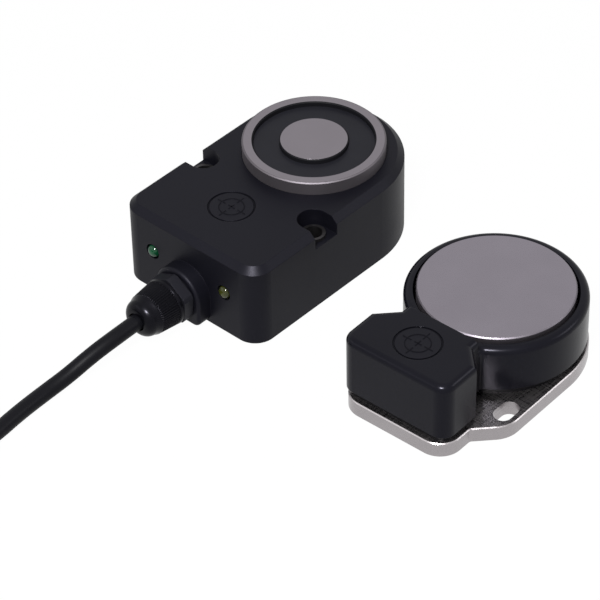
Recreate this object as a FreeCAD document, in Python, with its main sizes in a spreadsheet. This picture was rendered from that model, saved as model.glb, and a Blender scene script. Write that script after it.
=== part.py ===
"""Magnetic door lock: a lock unit with a holding magnet, and the actuator that it holds.

Frame: millimetres, +Z up out of the magnet's face.  The origin is the point under the magnet's
axis on the face that the lock unit is mounted on.  The cable leaves the lock unit along -Y, and
the actuator lies beside it on +X, face up, as it does before it is turned onto the lock unit.
"""
import FreeCAD, Part
import Sketcher
import math
import os
import re

SIZES = {
    # Lock unit: outside
    "lock_half_width": 32.5,      # half the width, and the radius of the round rear end
    "lock_front": 66.4,           # from the magnet's axis to the front face
    "lock_top": 33.0,
    "lock_edge_chamfer": 2.5,
    "lock_corner": 8.0,           # radius of the two upright front corners
    "lock_wall": 3.0,
    "lock_roof": 3.5,
    # Lock unit: rear cover, its seal and its screws
    "cover_thick": 4.0,
    "cover_lip": 1.5,             # wall left outside the cover
    "cover_gap": 0.1,
    "gasket_thick": 0.5,
    "gasket_width": 1.4,
    "cover_screw_radius": 1.5,
    "cover_screw_head": 3.0,
    "cover_screw_length": 11.0,
    "cover_post_radius": 4.0,
    "front_post_x": 24.0,
    "front_post_y": 58.5,
    "rear_post_x": 26.5,
    "rear_post_y": 17.0,
    # Holding magnet
    "yoke_radius": 26.0,
    "yoke_bore": 22.0,            # inner radius of the outer pole ring
    "core_radius": 12.5,
    "yoke_proud": 5.0,            # how far the poles stand out of the housing
    "yoke_back": 8.0,
    "yoke_flange": 28.5,          # collar that bears against the housing from inside
    "yoke_flange_thick": 4.0,
    "yoke_edge": 0.4,
    "yoke_gap": 0.15,
    "bobbin_wall": 1.0,
    "lead_hole": 1.7,             # way out of the yoke for the coil's two leads
    "lead_apart": 0.75,
    "lead_height": 1.6,           # of the leads over the cover
    "lead_inset": 1.5,            # where the leads meet the board, from its rear edge
    "lead_bend": 29.5,
    "potting_drop": 2.0,          # potting below the pole faces
    "potting_thick": 3.0,
    "magnet_screw_radius": 3.0,
    "magnet_screw_head": 6.0,
    "magnet_screw_length": 14.0,
    # Mounting points of the lock unit
    "mount_x": 26.4,
    "mount_y": 29.8,
    "recess_radius": 5.7,
    "recess_depth": 7.0,
    "recess_wall": 2.0,
    "sleeve_wall": 2.0,           # housing round a sleeve where it passes the cover
    "sleeve_radius": 4.4,
    "sleeve_bore": 3.3,
    "sleeve_proud": 1.2,
    "sleeve_gap": 0.05,
    # Reading spot, marked by a shallow round recess
    "target_y": 43.4,
    "target_radius": 8.6,
    "target_depth": 0.6,
    "reader_radius": 8.0,
    "reader_coil_radius": 6.6,
    "reader_coil_bore": 3.6,
    "reader_coil_thick": 2.8,
    "reader_coil_gap": 0.1,
    "reader_base": 1.6,
    "reader_thick": 5.0,
    # Indicator lamps
    "led_x": 17.2,
    "led_z": 17.5,
    "led_radius": 2.5,
    "led_hole": 3.0,
    "led_body": 6.0,
    "led_flange": 1.0,
    "led_flange_radius": 3.3,
    "led_sunk": 1.3,              # base of the dome behind the front face
    "led_lead": 0.3,              # half a lead's thickness
    "led_pitch": 2.54,            # between a lamp's two leads
    "lead_run": 2.5,              # how far a lead goes back before it turns up
    # Circuit board
    "board_z": 21.0,
    "board_thick": 1.6,
    "board_half_width": 19.0,
    "board_front": 60.5,
    "board_rear": 33.0,
    "board_post_radius": 2.4,
    "board_post_inset": 4.2,
    "board_screw_radius": 1.0,
    "board_screw_head": 2.0,
    "board_screw_length": 6.0,
    "terminal_length": 24.0,
    "terminal_width": 7.0,
    "terminal_height": 8.0,
    "terminal_y": 42.0,
    "terminal_play": 0.3,
    "chip_length": 8.0,
    "chip_width": 8.0,
    "chip_height": 2.5,
    "chip_margin": 5.5,           # from the board's front edge to the chips
    "chip_x": 3.0,
    "driver_side": 7.0,
    "driver_height": 1.6,
    "relay_width": 4.5,
    "relay_length": 8.0,
    "relay_height": 4.0,
    "relay_margin": 1.0,          # from the board's side edges to the relays
    "relay_front": 7.0,           # from the board's front edge to the relays
    # Cable gland
    "gland_z": 11.2,
    "boss_radius": 10.4,
    "boss_depth": 6.0,
    "boss_floor": 0.8,
    "boss_corner": 3.0,
    "boss_edge": 1.2,
    "thread_radius": 6.0,
    "thread_gap": 0.1,
    "ring_seal_thick": 0.6,
    "ring_seal_radius": 8.2,
    "hex_across": 17.0,
    "hex_corner_radius": 9.4,
    "hex_thick": 4.3,
    "stub_length": 7.5,
    "gland_bore": 3.3,
    "seal_radius": 4.9,
    "seal_seat": 5.2,             # bore of the stub round the seal
    "seal_length": 7.0,
    "seal_seat_depth": 4.0,
    "claw_length": 3.4,
    "claw_thick": 0.7,
    "claw_count": 8,
    "claw_slit": 0.5,
    "claw_ring": 0.8,             # the uncut part of the cage
    "claw_gap": 0.15,
    "nut_back_gap": 0.4,
    "nut_wall": 1.5,              # round the mouth
    "nut_radius": 9.0,
    "nut_front_radius": 7.9,
    "nut_collar": 1.2,
    "nut_grip": 8.2,              # length of the ribbed stretch
    "nut_length": 15.0,
    "nut_nose": 5.2,              # length of the smooth domed nose
    "nut_nose_radius": 7.2,
    "nut_nose_edge": 3.6,
    "nut_mouth": 3.4,
    "rib_count": 36,
    "rib_depth": 0.5,
    "rib_gap": 1.1,
    # Cable
    "cable_radius": 3.0,
    "cable_inside": 5.0,
    "wire_radius": 0.6,
    "wire_count": 8,
    "core_ring": 1.9,             # radius of the ring of cores in the cable
    "wire_bend": 2.0,             # straight stretch of a core in front of its terminal
    "coil_mean_radius": 35.0,
    "coil_bundle": 11.8,          # nine turns side by side round the bundle's edge
    "coil_x": -43.2,
    "coil_y": -196.0,
    "coil_entry": -40.0,          # degrees round the bundle where the first turn lies
    "coil_exit": -60.0,           # and where the last one leaves
    "tie_thick": 1.0,
    "tie_width": 5.0,
    "tie_count": 3,
    "tie_start": 110.0,           # degrees round the coil to the first tie
    "end_length": 40.0,
    "core_length": 16.0,
    "ferrule_length": 7.0,
    # Actuator: place, plate and pad
    "actuator_x": 93.9,
    "actuator_y": -10.7,
    "actuator_turn": 2.1,         # degrees, as it lies beside the lock unit
    "plate_thick": 5.7,
    "plate_radius": 32.5,
    "plate_half_width": 23.0,
    "plate_front": 57.9,
    "plate_corner": 8.6,
    "ear_front": 34.4,            # where the ear's slanted edge meets its straight side
    "ear_corner": 11.0,
    "plate_edge": 0.35,
    "slot_x": 27.0,
    "slot_y": 29.1,
    "slot_radius": 3.35,
    "slot_length": 10.6,
    "pad_thick": 3.0,
    "pad_inset": 2.0,
    # Actuator: housing
    "collar_radius": 32.1,
    "collar_top": 26.3,
    "collar_edge": 2.4,
    "cup_floor": 13.0,
    "cup_gap": 1.1,
    "block_half_width": 22.6,
    "block_front": 57.1,
    "block_top": 31.1,
    "block_rear": 30.2,
    "block_side_rear": 40.4,      # where the slanted rear corner starts
    "neck_half_width": 15.4,
    "block_corner": 5.2,
    "block_edge": 2.5,
    "neck_reach": 8.0,            # how far the block's foot runs into the collar
    "neck_fillet": 1.6,
    "tag_radius": 8.0,
    "tag_thick": 3.0,
    "tag_cover": 2.2,
    "tag_gap": 0.1,
    "housing_screw_radius": 2.0,
    "housing_screw_head": 4.0,
    "housing_screw_length": 14.0,
    "rear_screw_length": 10.5,
    "front_screw_x": 15.5,
    "front_screw_y": 50.0,
    "rear_screw_x": 15.0,
    "rear_screw_y": 15.0,
    "screw_post": 4.5,
    "rear_post_top": 16.5,
    # Actuator: floating armature
    "disc_radius": 27.7,
    "disc_top": 27.8,
    "disc_thick": 6.0,
    "disc_edge": 0.4,
    "hub_radius": 8.0,
    "hub_length": 7.0,
    "bolt_radius": 3.0,
    "bolt_bore": 4.2,
    "bolt_head_radius": 6.0,
    "bolt_head_thick": 1.6,
    "bolt_pocket_radius": 7.6,
    "bolt_pocket_depth": 4.2,
    "rocker_thick": 0.8,
    "rocker_radius": 6.0,
    "rocker_bore": 3.8,
    "rocker_gap": 0.3,
    "spring_bore": 9.4,
    "spring_radius": 14.0,
    "spring_thick": 0.7,
    "spring_count": 4,
    "spring_play": 0.05,
    "ring_thick": 1.2,
    "ring_slope": 0.35,           # how far the ring's top falls towards its outer edge
    "ring_gap": 0.5,
}

V = FreeCAD.Vector
Turn = FreeCAD.Rotation
ALONG_FRONT = Turn(V(1, 0, 0), 90)      # a piece's own +Z points out of the front, along -Y
UPRIGHT = Turn()

doc = FreeCAD.newDocument("magnetic_door_lock")
sheet = doc.addObject("Spreadsheet::Sheet", "Sizes")
for row, (alias, number) in enumerate(SIZES.items(), start=1):
    sheet.set(f"A{row}", alias)
    sheet.set(f"B{row}", str(number))
    sheet.setAlias(f"B{row}", alias)
doc.recompute()

nodes = []


def tied(words):
    """An expression in the sheet's own names."""
    return re.sub(r"[a-z][a-z_]*[a-z]", lambda m: "Sizes." + m[0] if m[0] in SIZES else m[0], words)


def number(words):
    """The present value of an expression in the sheet's names."""
    return float(sheet.evalExpression(tied(words)))


def bind(thing, **sizes):
    for name, words in sizes.items():
        thing.setExpression(name, tied(words))
    return thing


def place(thing, x="0", y="0", z="0", turn=UPRIGHT):
    """Put a thing at a point given in the sheet's names."""
    thing.Placement = FreeCAD.Placement(V(), turn)
    for axis, words in zip("xyz", (x, y, z)):
        thing.setExpression(f"Placement.Base.{axis}", tied(words))
    return thing


def piece(thing, label):
    """Mark a finished sub-part, which gets a node and a file of its own."""
    thing.Label = label
    nodes.append(thing)
    return thing


# ---------------------------------------------------------------- primitives and booleans

def cylinder(radius, height, x="0", y="0", z="0", turn=UPRIGHT):
    made = bind(doc.addObject("Part::Cylinder", "Cylinder"), Radius=radius, Height=height)
    return place(made, x, y, z, turn)


def cone(low, high, height, x="0", y="0", z="0", turn=UPRIGHT):
    made = bind(doc.addObject("Part::Cone", "Cone"), Radius1=low, Radius2=high, Height=height)
    return place(made, x, y, z, turn)


def block(length, width, height, x="0", y="0", z="0"):
    made = bind(doc.addObject("Part::Box", "Block"), Length=length, Width=width, Height=height)
    return place(made, x, y, z)


def fuse(*things):
    made = doc.addObject("Part::MultiFuse", "Joined")
    made.Shapes = list(things)
    made.Refine = True
    return made


def group(*things):
    made = doc.addObject("Part::Compound", "Group")
    made.Links = list(things)
    return made


def cut(base, *tools):
    made = doc.addObject("Part::Cut", "CutPiece")
    made.Base = base
    made.Tool = tools[0] if len(tools) == 1 else fuse(*tools)
    made.Refine = True
    return made


def tube(outer, inner, height, x="0", y="0", z="0", turn=UPRIGHT):
    made = cut(cylinder(outer, height), cylinder(inner, height))
    return place(made, x, y, z, turn)


def countersunk_screw(radius, head, length, x, y, z="0"):
    """A flat-headed screw, head down, driven upwards from z."""
    head_height = f"({head}) - ({radius})"
    shank = cylinder(radius, length, x, y, z)
    return fuse(shank, cone(head, radius, head_height, x, y, z))


def countersink(radius, head, length, x, y, z="0"):
    """The hole that a countersunk screw sits in."""
    hole = cylinder(f"({radius}) + cover_gap", length, x, y, z)
    return fuse(hole, cone(f"({head}) + cover_gap", f"({radius}) + cover_gap",
                           f"({head}) - ({radius})", x, y, z))


# ---------------------------------------------------------------- bodies, sketches and features

def new_body(name):
    return doc.addObject("PartDesign::Body", name)


def attach(body, sketch, role, offset):
    plane = [f for f in body.Origin.OriginFeatures if f.Role == role][0]
    sketch.AttachmentSupport = (plane, [""])
    sketch.MapMode = "FlatFace"
    sketch.setExpression("AttachmentOffset.Base.z", tied(offset))


def pin_point(sketch, geometry, end, x, y):
    """Fix one end of one piece of a sketch's geometry at a point in the sheet's names."""
    for kind, words in (("DistanceX", x), ("DistanceY", y)):
        rule = Sketcher.Constraint(kind, -1, 1, geometry, end, number(words))
        index = sketch.addConstraint(rule)
        sketch.setExpression(f"Constraints[{index}]", tied(words))


def outline(body, corners, role="XY_Plane", offset="0"):
    """A closed outline of straight edges through corners given in the sheet's names."""
    sketch = body.newObject("Sketcher::SketchObject", "Outline")
    attach(body, sketch, role, offset)
    points = [V(number(x), number(y), 0) for x, y in corners]
    count = len(points)
    for i in range(count):
        sketch.addGeometry(Part.LineSegment(points[i], points[(i + 1) % count]), False)
    for i in range(count):
        sketch.addConstraint(Sketcher.Constraint("Coincident", i, 2, (i + 1) % count, 1))
    for i, (x, y) in enumerate(corners):
        pin_point(sketch, i, 1, x, y)
    return sketch


def rings(body, circles, role="XY_Plane", offset="0"):
    """A sketch of circles, each with its centre and radius in the sheet's names."""
    sketch = body.newObject("Sketcher::SketchObject", "Circles")
    attach(body, sketch, role, offset)
    for i, (x, y, radius) in enumerate(circles):
        centre = V(number(x), number(y), 0)
        sketch.addGeometry(Part.Circle(centre, V(0, 0, 1), number(radius)), False)
        pin_point(sketch, i, 3, x, y)
        index = sketch.addConstraint(Sketcher.Constraint("Radius", i, number(radius)))
        sketch.setExpression(f"Constraints[{index}]", tied(radius))
    return sketch


def pad(body, sketch, length):
    made = body.newObject("PartDesign::Pad", "Pad")
    made.Profile = sketch
    bind(made, Length=length)
    doc.recompute()
    return made


def revolve(body, sketch):
    made = body.newObject("PartDesign::Revolution", "Turned")
    made.Profile = sketch
    made.ReferenceAxis = (sketch, ["V_Axis"])
    made.Angle = 360
    doc.recompute()
    return made


def soften(body, kind, size, wanted):
    """Fillet or chamfer the edges of a body for which wanted(edge) holds."""
    names = [f"Edge{i}" for i, edge in enumerate(body.Shape.Edges, start=1) if wanted(edge)]
    base = body.Tip
    made = body.newObject("PartDesign::" + kind, kind)
    made.Base = (base, names)
    bind(made, **{"Radius" if kind == "Fillet" else "Size": size})
    doc.recompute()
    return made


def upright_at(x, y):
    """A test for the upright edges at |x| and y."""
    def wanted(edge):
        box = edge.BoundBox
        flat = box.XLength < 0.01 and box.YLength < 0.01
        return flat and abs(abs(box.XMin) - number(x)) < 0.01 and abs(box.YMin - number(y)) < 0.01
    return wanted


def level_at(z, inside=None):
    """A test for the edges that lie at height z, and whose middle passes inside(x, y)."""
    def wanted(edge):
        box = edge.BoundBox
        level = abs(box.ZMin - number(z)) < 0.01 and abs(box.ZMax - number(z)) < 0.01
        middle = edge.valueAt((edge.FirstParameter + edge.LastParameter) / 2)
        return level and (inside is None or inside(middle.x, middle.y))
    return wanted


# ---------------------------------------------------------------- lock unit: housing and cover

def lock_plan(body, inset, height, offset="0"):
    """The lock unit's plan, a rectangle with a round rear end, shrunk by inset and raised."""
    side = f"lock_half_width - ({inset})"
    front = f"-(lock_front - ({inset}))"
    corners = [(f"-({side})", front), (side, front), (side, "0"), (f"-({side})", "0")]
    pad(body, outline(body, corners, offset=offset), height)
    pad(body, rings(body, [("0", "0", side)], offset=offset), height)
    soften(body, "Fillet", f"lock_corner - ({inset})", upright_at(side, front))


def lock_cavity():
    """The space inside the housing, and the wider step that the rear cover drops into."""
    room = new_body("CavitySpace")
    lock_plan(room, "lock_wall", "lock_top - lock_roof")
    step = new_body("CoverStep")
    lock_plan(step, "cover_lip", "cover_thick + gasket_thick")
    return room, step


COVER_POSTS = [(sign + x, "-" + y) for x, y in (("front_post_x", "front_post_y"),
                                                ("rear_post_x", "rear_post_y"))
               for sign in ("", "-")]
MOUNTS = [("mount_x", "-mount_y"), ("-mount_x", "-mount_y")]
BOARD_POSTS = [(f"{side}(board_half_width - board_post_inset)", f"-({end} {inward} board_post_inset)")
               for end, inward in (("board_front", "-"), ("board_rear", "+"))
               for side in ("", "-")]


def recess(x):
    """A screw head's recess: round at the back, open through the top and the side."""
    depth = "recess_depth + 1"
    floor = "lock_top - recess_depth"
    round_back = cylinder("recess_radius", depth, x, "-mount_y", floor)
    outwards = x if not x.startswith("-") else "-mount_x - (lock_half_width - mount_x + 1)"
    way_out = block("lock_half_width - mount_x + 1", "recess_radius * 2", depth,
                    outwards, "-mount_y - recess_radius", floor)
    return fuse(round_back, way_out)


def build_lock_housing():
    shell = new_body("LockShell")
    lock_plan(shell, "0", "lock_top")
    soften(shell, "Chamfer", "lock_edge_chamfer", level_at("lock_top"))

    boss = new_body("GlandBoss")
    boss_floor = "boss_floor"
    inside = "lock_front - lock_wall"
    reach = "boss_depth + lock_wall"
    sides = [("-boss_radius", boss_floor), ("boss_radius", boss_floor),
             ("boss_radius", "gland_z"), ("-boss_radius", "gland_z")]
    pad(boss, outline(boss, sides, "XZ_Plane", inside), reach)
    pad(boss, rings(boss, [("0", "gland_z", "boss_radius")], "XZ_Plane", inside), reach)
    soften(boss, "Fillet", "boss_corner",
           lambda e: e.BoundBox.YLength > 5 and abs(e.BoundBox.ZMax - number(boss_floor)) < 0.01)
    soften(boss, "Fillet", "boss_edge", lambda e: abs(e.BoundBox.YMax - number(BOSS_FACE)) < 0.01)

    room, step = lock_cavity()
    hollow = cut(fuse(shell, boss), room, step)

    seat = "cover_thick + gasket_thick"
    wide = "recess_radius + recess_wall"
    posts = [cylinder("cover_post_radius", "cover_screw_length", x, y, seat)
             for x, y in COVER_POSTS]
    posts += [cylinder(wide, f"lock_top - lock_edge_chamfer - ({seat})", x, y, seat)
              for x, y in MOUNTS]
    posts += [cylinder("sleeve_radius + sleeve_wall", seat, x, y) for x, y in MOUNTS]
    posts += [cylinder("board_post_radius", "lock_top - lock_roof - board_z - board_thick",
                       x, y, "board_z + board_thick") for x, y in BOARD_POSTS]
    whole = new_body("LockEnvelope")
    lock_plan(whole, "0.5", "lock_top")
    inner_posts = doc.addObject("Part::Common", "InnerPosts")
    inner_posts.Base = fuse(*posts)
    inner_posts.Tool = whole
    solid = fuse(hollow, inner_posts)

    holes = [cylinder("yoke_radius + yoke_gap", "lock_top")]
    holes += [recess(x) for x, _ in MOUNTS]
    holes += [cylinder("sleeve_radius + sleeve_gap", "lock_top", x, y) for x, y in MOUNTS]
    holes += [cylinder("cover_screw_radius + cover_gap", "cover_screw_length + 1", x, y)
              for x, y in COVER_POSTS]
    holes += [cylinder("board_screw_radius + cover_gap", "board_screw_length", x, y, "board_z")
              for x, y in BOARD_POSTS]
    holes += [cylinder("led_hole", "lock_wall + 1", x, "-lock_front + lock_wall + 0.5",
                       "led_z", ALONG_FRONT) for x in ("led_x", "-led_x")]
    holes.append(cylinder("thread_radius + thread_gap", "lock_wall + boss_depth + 1", "0",
                          "-lock_front + lock_wall + 0.5", "gland_z", ALONG_FRONT))
    holes.append(cylinder("target_radius", "target_depth + 1", "0", "-target_y",
                          "lock_top - target_depth"))
    return piece(cut(solid, *holes), "lock_housing")


def build_rear_cover():
    """The cover and its seal, both notched at the sides round the housing's sleeve pillars."""
    pillar = "sleeve_radius + sleeve_wall + cover_gap"
    plate = new_body("CoverPlate")
    lock_plan(plate, "cover_lip + cover_gap", "cover_thick")
    holes = [cylinder(pillar, "cover_thick", x, y) for x, y in MOUNTS]
    holes += [countersink("cover_screw_radius", "cover_screw_head", "cover_thick", x, y)
              for x, y in COVER_POSTS]
    holes.append(countersink("magnet_screw_radius", "magnet_screw_head", "cover_thick", "0", "0"))
    piece(cut(plate, *holes), "rear_cover")

    rim = new_body("GasketRim")
    lock_plan(rim, "cover_lip + cover_gap", "gasket_thick", "cover_thick")
    middle = new_body("GasketMiddle")
    lock_plan(middle, "cover_lip + cover_gap + gasket_width", "gasket_thick", "cover_thick")
    rounds = [cylinder(f"{pillar} + gasket_width", "gasket_thick", x, y, "cover_thick")
              for x, y in MOUNTS]
    gaps = [cylinder(pillar, "gasket_thick", x, y, "cover_thick") for x, y in MOUNTS]
    piece(cut(rim, cut(middle, *rounds), *gaps), "cover_gasket")

    screws = [countersunk_screw("cover_screw_radius", "cover_screw_head", "cover_screw_length", x, y)
              for x, y in COVER_POSTS]
    piece(group(*screws), "cover_screws")


def build_mounting_sleeves():
    height = "lock_top - recess_depth + sleeve_proud"
    sleeves = [tube("sleeve_radius", "sleeve_bore", height, x, y) for x, y in MOUNTS]
    piece(group(*sleeves), "mounting_sleeves")


# ---------------------------------------------------------------- lock unit: holding magnet

YOKE_FLOOR = "cover_thick + yoke_back"
POLE_FACE = "lock_top + yoke_proud"
POTTING_FOOT = "lock_top + yoke_proud - potting_drop - potting_thick"
LEAD_Y = "-(core_radius + yoke_bore) / 2"


def build_magnet():
    """One turned steel pot with its core, and in its groove the coil on its bobbin, potted."""
    yoke = new_body("Yoke")
    thread = "magnet_screw_radius + cover_gap"
    thread_end = "magnet_screw_length + 1"
    ceiling = "lock_top - lock_roof"
    profile = [(thread, "cover_thick"), ("yoke_radius", "cover_thick"),
               ("yoke_radius", f"{ceiling} - yoke_flange_thick"),
               ("yoke_flange", f"{ceiling} - yoke_flange_thick"), ("yoke_flange", ceiling),
               ("yoke_radius", ceiling), ("yoke_radius", POLE_FACE), ("yoke_bore", POLE_FACE),
               ("yoke_bore", YOKE_FLOOR), ("core_radius", YOKE_FLOOR), ("core_radius", POLE_FACE),
               ("0", POLE_FACE), ("0", thread_end), (thread, thread_end)]
    revolve(yoke, outline(yoke, profile, "XZ_Plane"))
    soften(yoke, "Chamfer", "yoke_edge", level_at(POLE_FACE))
    way_down = cylinder("lead_hole", "yoke_back", "0", LEAD_Y, "cover_thick")
    way_out = block("lead_hole * 2", f"yoke_radius + ({LEAD_Y})", "lead_height * 2",
                    "-lead_hole", "-yoke_radius", "cover_thick")
    piece(cut(yoke, way_down, way_out), "magnet_yoke")

    bobbin = new_body("Bobbin")
    low, high = YOKE_FLOOR, POTTING_FOOT
    inner, outer = "core_radius + yoke_gap", "yoke_bore - yoke_gap"
    drum = f"{inner} + bobbin_wall"
    profile = [(inner, low), (outer, low), (outer, f"{low} + bobbin_wall"),
               (drum, f"{low} + bobbin_wall"), (drum, f"{high} - bobbin_wall"),
               (outer, f"{high} - bobbin_wall"), (outer, high), (inner, high)]
    revolve(bobbin, outline(bobbin, profile, "XZ_Plane"))
    exit_hole = cylinder("lead_hole", "bobbin_wall", "0", LEAD_Y, low)
    piece(cut(bobbin, exit_hole), "coil_bobbin")

    piece(tube(f"{outer} - bobbin_wall", drum, f"{high} - ({low}) - bobbin_wall * 2",
               z=f"{low} + bobbin_wall"), "coil_winding")
    piece(tube("yoke_bore", "core_radius", "potting_thick", z=POTTING_FOOT), "magnet_potting")
    piece(countersunk_screw("magnet_screw_radius", "magnet_screw_head", "magnet_screw_length",
                            "0", "0"), "magnet_screw")


# ---------------------------------------------------------------- lock unit: electronics

BOARD_TOP = "board_z + board_thick"


def build_board():
    board = block("board_half_width * 2", "board_front - board_rear", "board_thick",
                  "-board_half_width", "-board_front", "board_z")
    holes = [cylinder("board_screw_radius + cover_gap", "board_thick", x, y, "board_z")
             for x, y in BOARD_POSTS]
    piece(cut(board, *holes), "control_board")

    screws = [fuse(cylinder("board_screw_head", "board_screw_radius", x, y,
                            "board_z - board_screw_radius"),
                   cylinder("board_screw_radius", "board_screw_length", x, y, "board_z - 0.1"))
              for x, y in BOARD_POSTS]
    piece(group(*screws), "board_screws")

    front = "-board_front + chip_margin"
    behind = "-board_front + relay_front"
    relay = ("relay_width", "relay_length", "relay_height")
    places = [("chip_length", "chip_width", "chip_height", "-chip_x - chip_length", front),
              ("driver_side", "driver_side", "driver_height", "chip_x", front),
              relay + ("-board_half_width + relay_margin", behind),
              relay + ("board_half_width - relay_margin - relay_width", behind)]
    parts = [block(length, width, height, x, y, f"board_z - {height}")
             for length, width, height, x, y in places]
    piece(group(*parts), "board_parts")

    terminals = block("terminal_length", "terminal_width", "terminal_height",
                      "-terminal_length / 2", "-terminal_y - terminal_width / 2",
                      "board_z - terminal_height")
    entries = [cylinder("wire_radius + terminal_play", "terminal_width / 2", core_x(i),
                        "-terminal_y", core_z(), ALONG_FRONT)
               for i in range(int(number("wire_count")))]
    piece(cut(terminals, *entries), "terminal_block")


def core_x(i):
    """Where core i of the cable enters the terminal block, across its length."""
    return f"terminal_length * (({i} + 0.5) / wire_count - 0.5)"


def core_z():
    return "board_z - terminal_height / 2"


def wire(points):
    """A bent wire through the points, with round corners."""
    radius = number("wire_radius")
    legs = [Part.makeCylinder(radius, (b - a).Length, a, b - a) for a, b in zip(points, points[1:])]
    corners = [Part.makeSphere(radius, point) for point in points[1:-1]]
    return legs[0].fuse(legs[1:] + corners).removeSplitter()


def bundle_of_wires(wires, name, label):
    made = doc.addObject("Part::Feature", name)
    made.Shape = Part.makeCompound(wires)
    return piece(made, label)


def build_core_wires():
    """The cable's cores, fanned out from its stripped end to the terminal block."""
    wires = []
    ring = number("core_ring")
    for i in range(int(number("wire_count"))):
        angle = 2 * math.pi * i / number("wire_count")
        start = V(ring * math.cos(angle), -number("lock_front - lock_wall - cable_inside"),
                  number("gland_z") + ring * math.sin(angle))
        mouth = V(number(core_x(i)), -number("terminal_y + terminal_width / 2"), number(core_z()))
        bend = mouth - V(0, number("wire_bend"), 0)
        entry = mouth + V(0, number("terminal_width / 2") - number("terminal_play"), 0)
        wires.append(wire([start, start + V(0, number("wire_bend"), 0), bend, entry]))
    bundle_of_wires(wires, "CoreWires", "core_wires")


def build_coil_leads():
    """The magnet coil's two leads, out under the yoke and up to the board's rear edge."""
    out, low, bend = number(LEAD_Y), number("cover_thick + lead_height"), -number("lead_bend")
    board = -number("board_rear + lead_inset")
    leads = []
    for x in (number("lead_apart"), -number("lead_apart")):
        leads.append(wire([V(x, out, number(YOKE_FLOOR) + number("bobbin_wall")), V(x, out, low),
                           V(x, bend, low), V(x, board, number("board_z") - number("wire_bend")),
                           V(x, board, number("board_z"))]))
    bundle_of_wires(leads, "CoilLeads", "coil_leads")


def build_reader():
    """The antenna that reads the actuator's transponder: a coil in an open ferrite cup."""
    cup = new_body("ReaderCup")
    foot, head = BOARD_TOP, f"{BOARD_TOP} + reader_thick"
    floor = f"{BOARD_TOP} + reader_base"
    profile = [("0", foot), ("reader_radius", foot), ("reader_radius", head),
               ("reader_coil_radius", head), ("reader_coil_radius", floor),
               ("reader_coil_bore", floor), ("reader_coil_bore", head), ("0", head)]
    revolve(cup, outline(cup, profile, "XZ_Plane"))
    piece(place(cup, y="-target_y"), "reader_core")
    winding = tube("reader_coil_radius - reader_coil_gap", "reader_coil_bore + reader_coil_gap",
                   "reader_coil_thick", y="-target_y", z=floor)
    piece(winding, "reader_coil")


def build_led(x, label):
    """A round-headed lamp, seen from the front, with its flange behind the wall."""
    lamp = new_body("Lamp")
    dome_base = "led_body - led_radius"
    straight = [("0", "0"), ("led_flange_radius", "0"), ("led_flange_radius", "led_flange"),
                ("led_radius", "led_flange"), ("led_radius", "led_body"), ("0", "led_body")]
    revolve(lamp, outline(lamp, straight, "XZ_Plane"))
    soften(lamp, "Fillet", "led_radius - 0.2", level_at("led_body"))
    back = "-lock_front + led_sunk + " + dome_base
    piece(place(lamp, x, back, "led_z", ALONG_FRONT), label)
    return back


def build_indicators():
    back = build_led("-led_x", "led_green")
    build_led("led_x", "led_yellow")
    leads = []
    for x in ("led_x", "-led_x"):
        for side in ("led_pitch / 2", "-led_pitch / 2"):
            lead_x = f"{x} + {side}"
            along = block("led_lead * 2", "lead_run", "led_lead * 2",
                          f"{lead_x} - led_lead", back, "led_z - led_lead")
            up = block("led_lead * 2", "led_lead * 2", "board_z - led_z + led_lead",
                       f"{lead_x} - led_lead", f"{back} + lead_run - led_lead * 2", "led_z - led_lead")
            leads.append(fuse(along, up))
    piece(group(*leads), "led_leads")


# ---------------------------------------------------------------- lock unit: cable gland

BOSS_FACE = "-(lock_front + boss_depth)"
HEX_BACK = "ring_seal_thick"                       # heights up the gland's own axis
STUB_END = "ring_seal_thick + hex_thick + stub_length"
NUT_BACK = "ring_seal_thick + hex_thick + nut_back_gap"
SEAL_BACK = "ring_seal_thick + hex_thick + stub_length - seal_seat_depth"


def on_gland(thing, label, height="0"):
    """Turn a piece that stands on the gland's axis so that it points out of the front."""
    return piece(place(thing, y=f"{BOSS_FACE} - ({height})", z="gland_z", turn=ALONG_FRONT), label)


def build_gland_body():
    on_gland(tube("ring_seal_radius", "thread_radius + thread_gap", "ring_seal_thick"),
             "gland_washer")
    hexagon = doc.addObject("Part::Prism", "Hexagon")
    hexagon.Polygon = 6
    bind(hexagon, Circumradius="hex_across / sqrt(3)", Height="hex_thick")
    place(hexagon, z=HEX_BACK, turn=Turn(V(0, 0, 1), 25))
    rounded = doc.addObject("Part::Common", "RoundedHexagon")
    rounded.Base = hexagon
    rounded.Tool = cylinder("hex_corner_radius", "hex_thick", z=HEX_BACK)
    inner_thread = "lock_wall + boss_depth"
    threads = cylinder("thread_radius", f"{inner_thread} + {STUB_END}", z=f"-({inner_thread})")
    bore = cylinder("gland_bore", f"{inner_thread} + {STUB_END}", z=f"-({inner_thread})")
    seat = cylinder("seal_seat", "seal_seat_depth", z=SEAL_BACK)
    on_gland(cut(fuse(rounded, threads), bore, seat), "gland_body")


def build_gland_clamp():
    seal = tube("seal_radius", "cable_radius", "seal_length")
    on_gland(seal, "gland_seal", SEAL_BACK)

    cage = tube("seal_radius + claw_thick", "seal_radius + claw_gap", "claw_length")
    width = "thread_radius * 2"
    slits = []
    for i in range(int(number("claw_count") / 2)):
        slit = block(width, "claw_slit", "claw_length", f"-({width}) / 2", "-claw_slit / 2", "claw_ring")
        turned = doc.addObject("Part::Compound", "TurnedSlit")
        turned.Links = [slit]
        turned.Placement = FreeCAD.Placement(V(), Turn(V(0, 0, 1), 360 / number("claw_count") * i))
        slits.append(turned)
    on_gland(cut(cage, *slits), "gland_claw", f"{STUB_END} + claw_gap")


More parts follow.
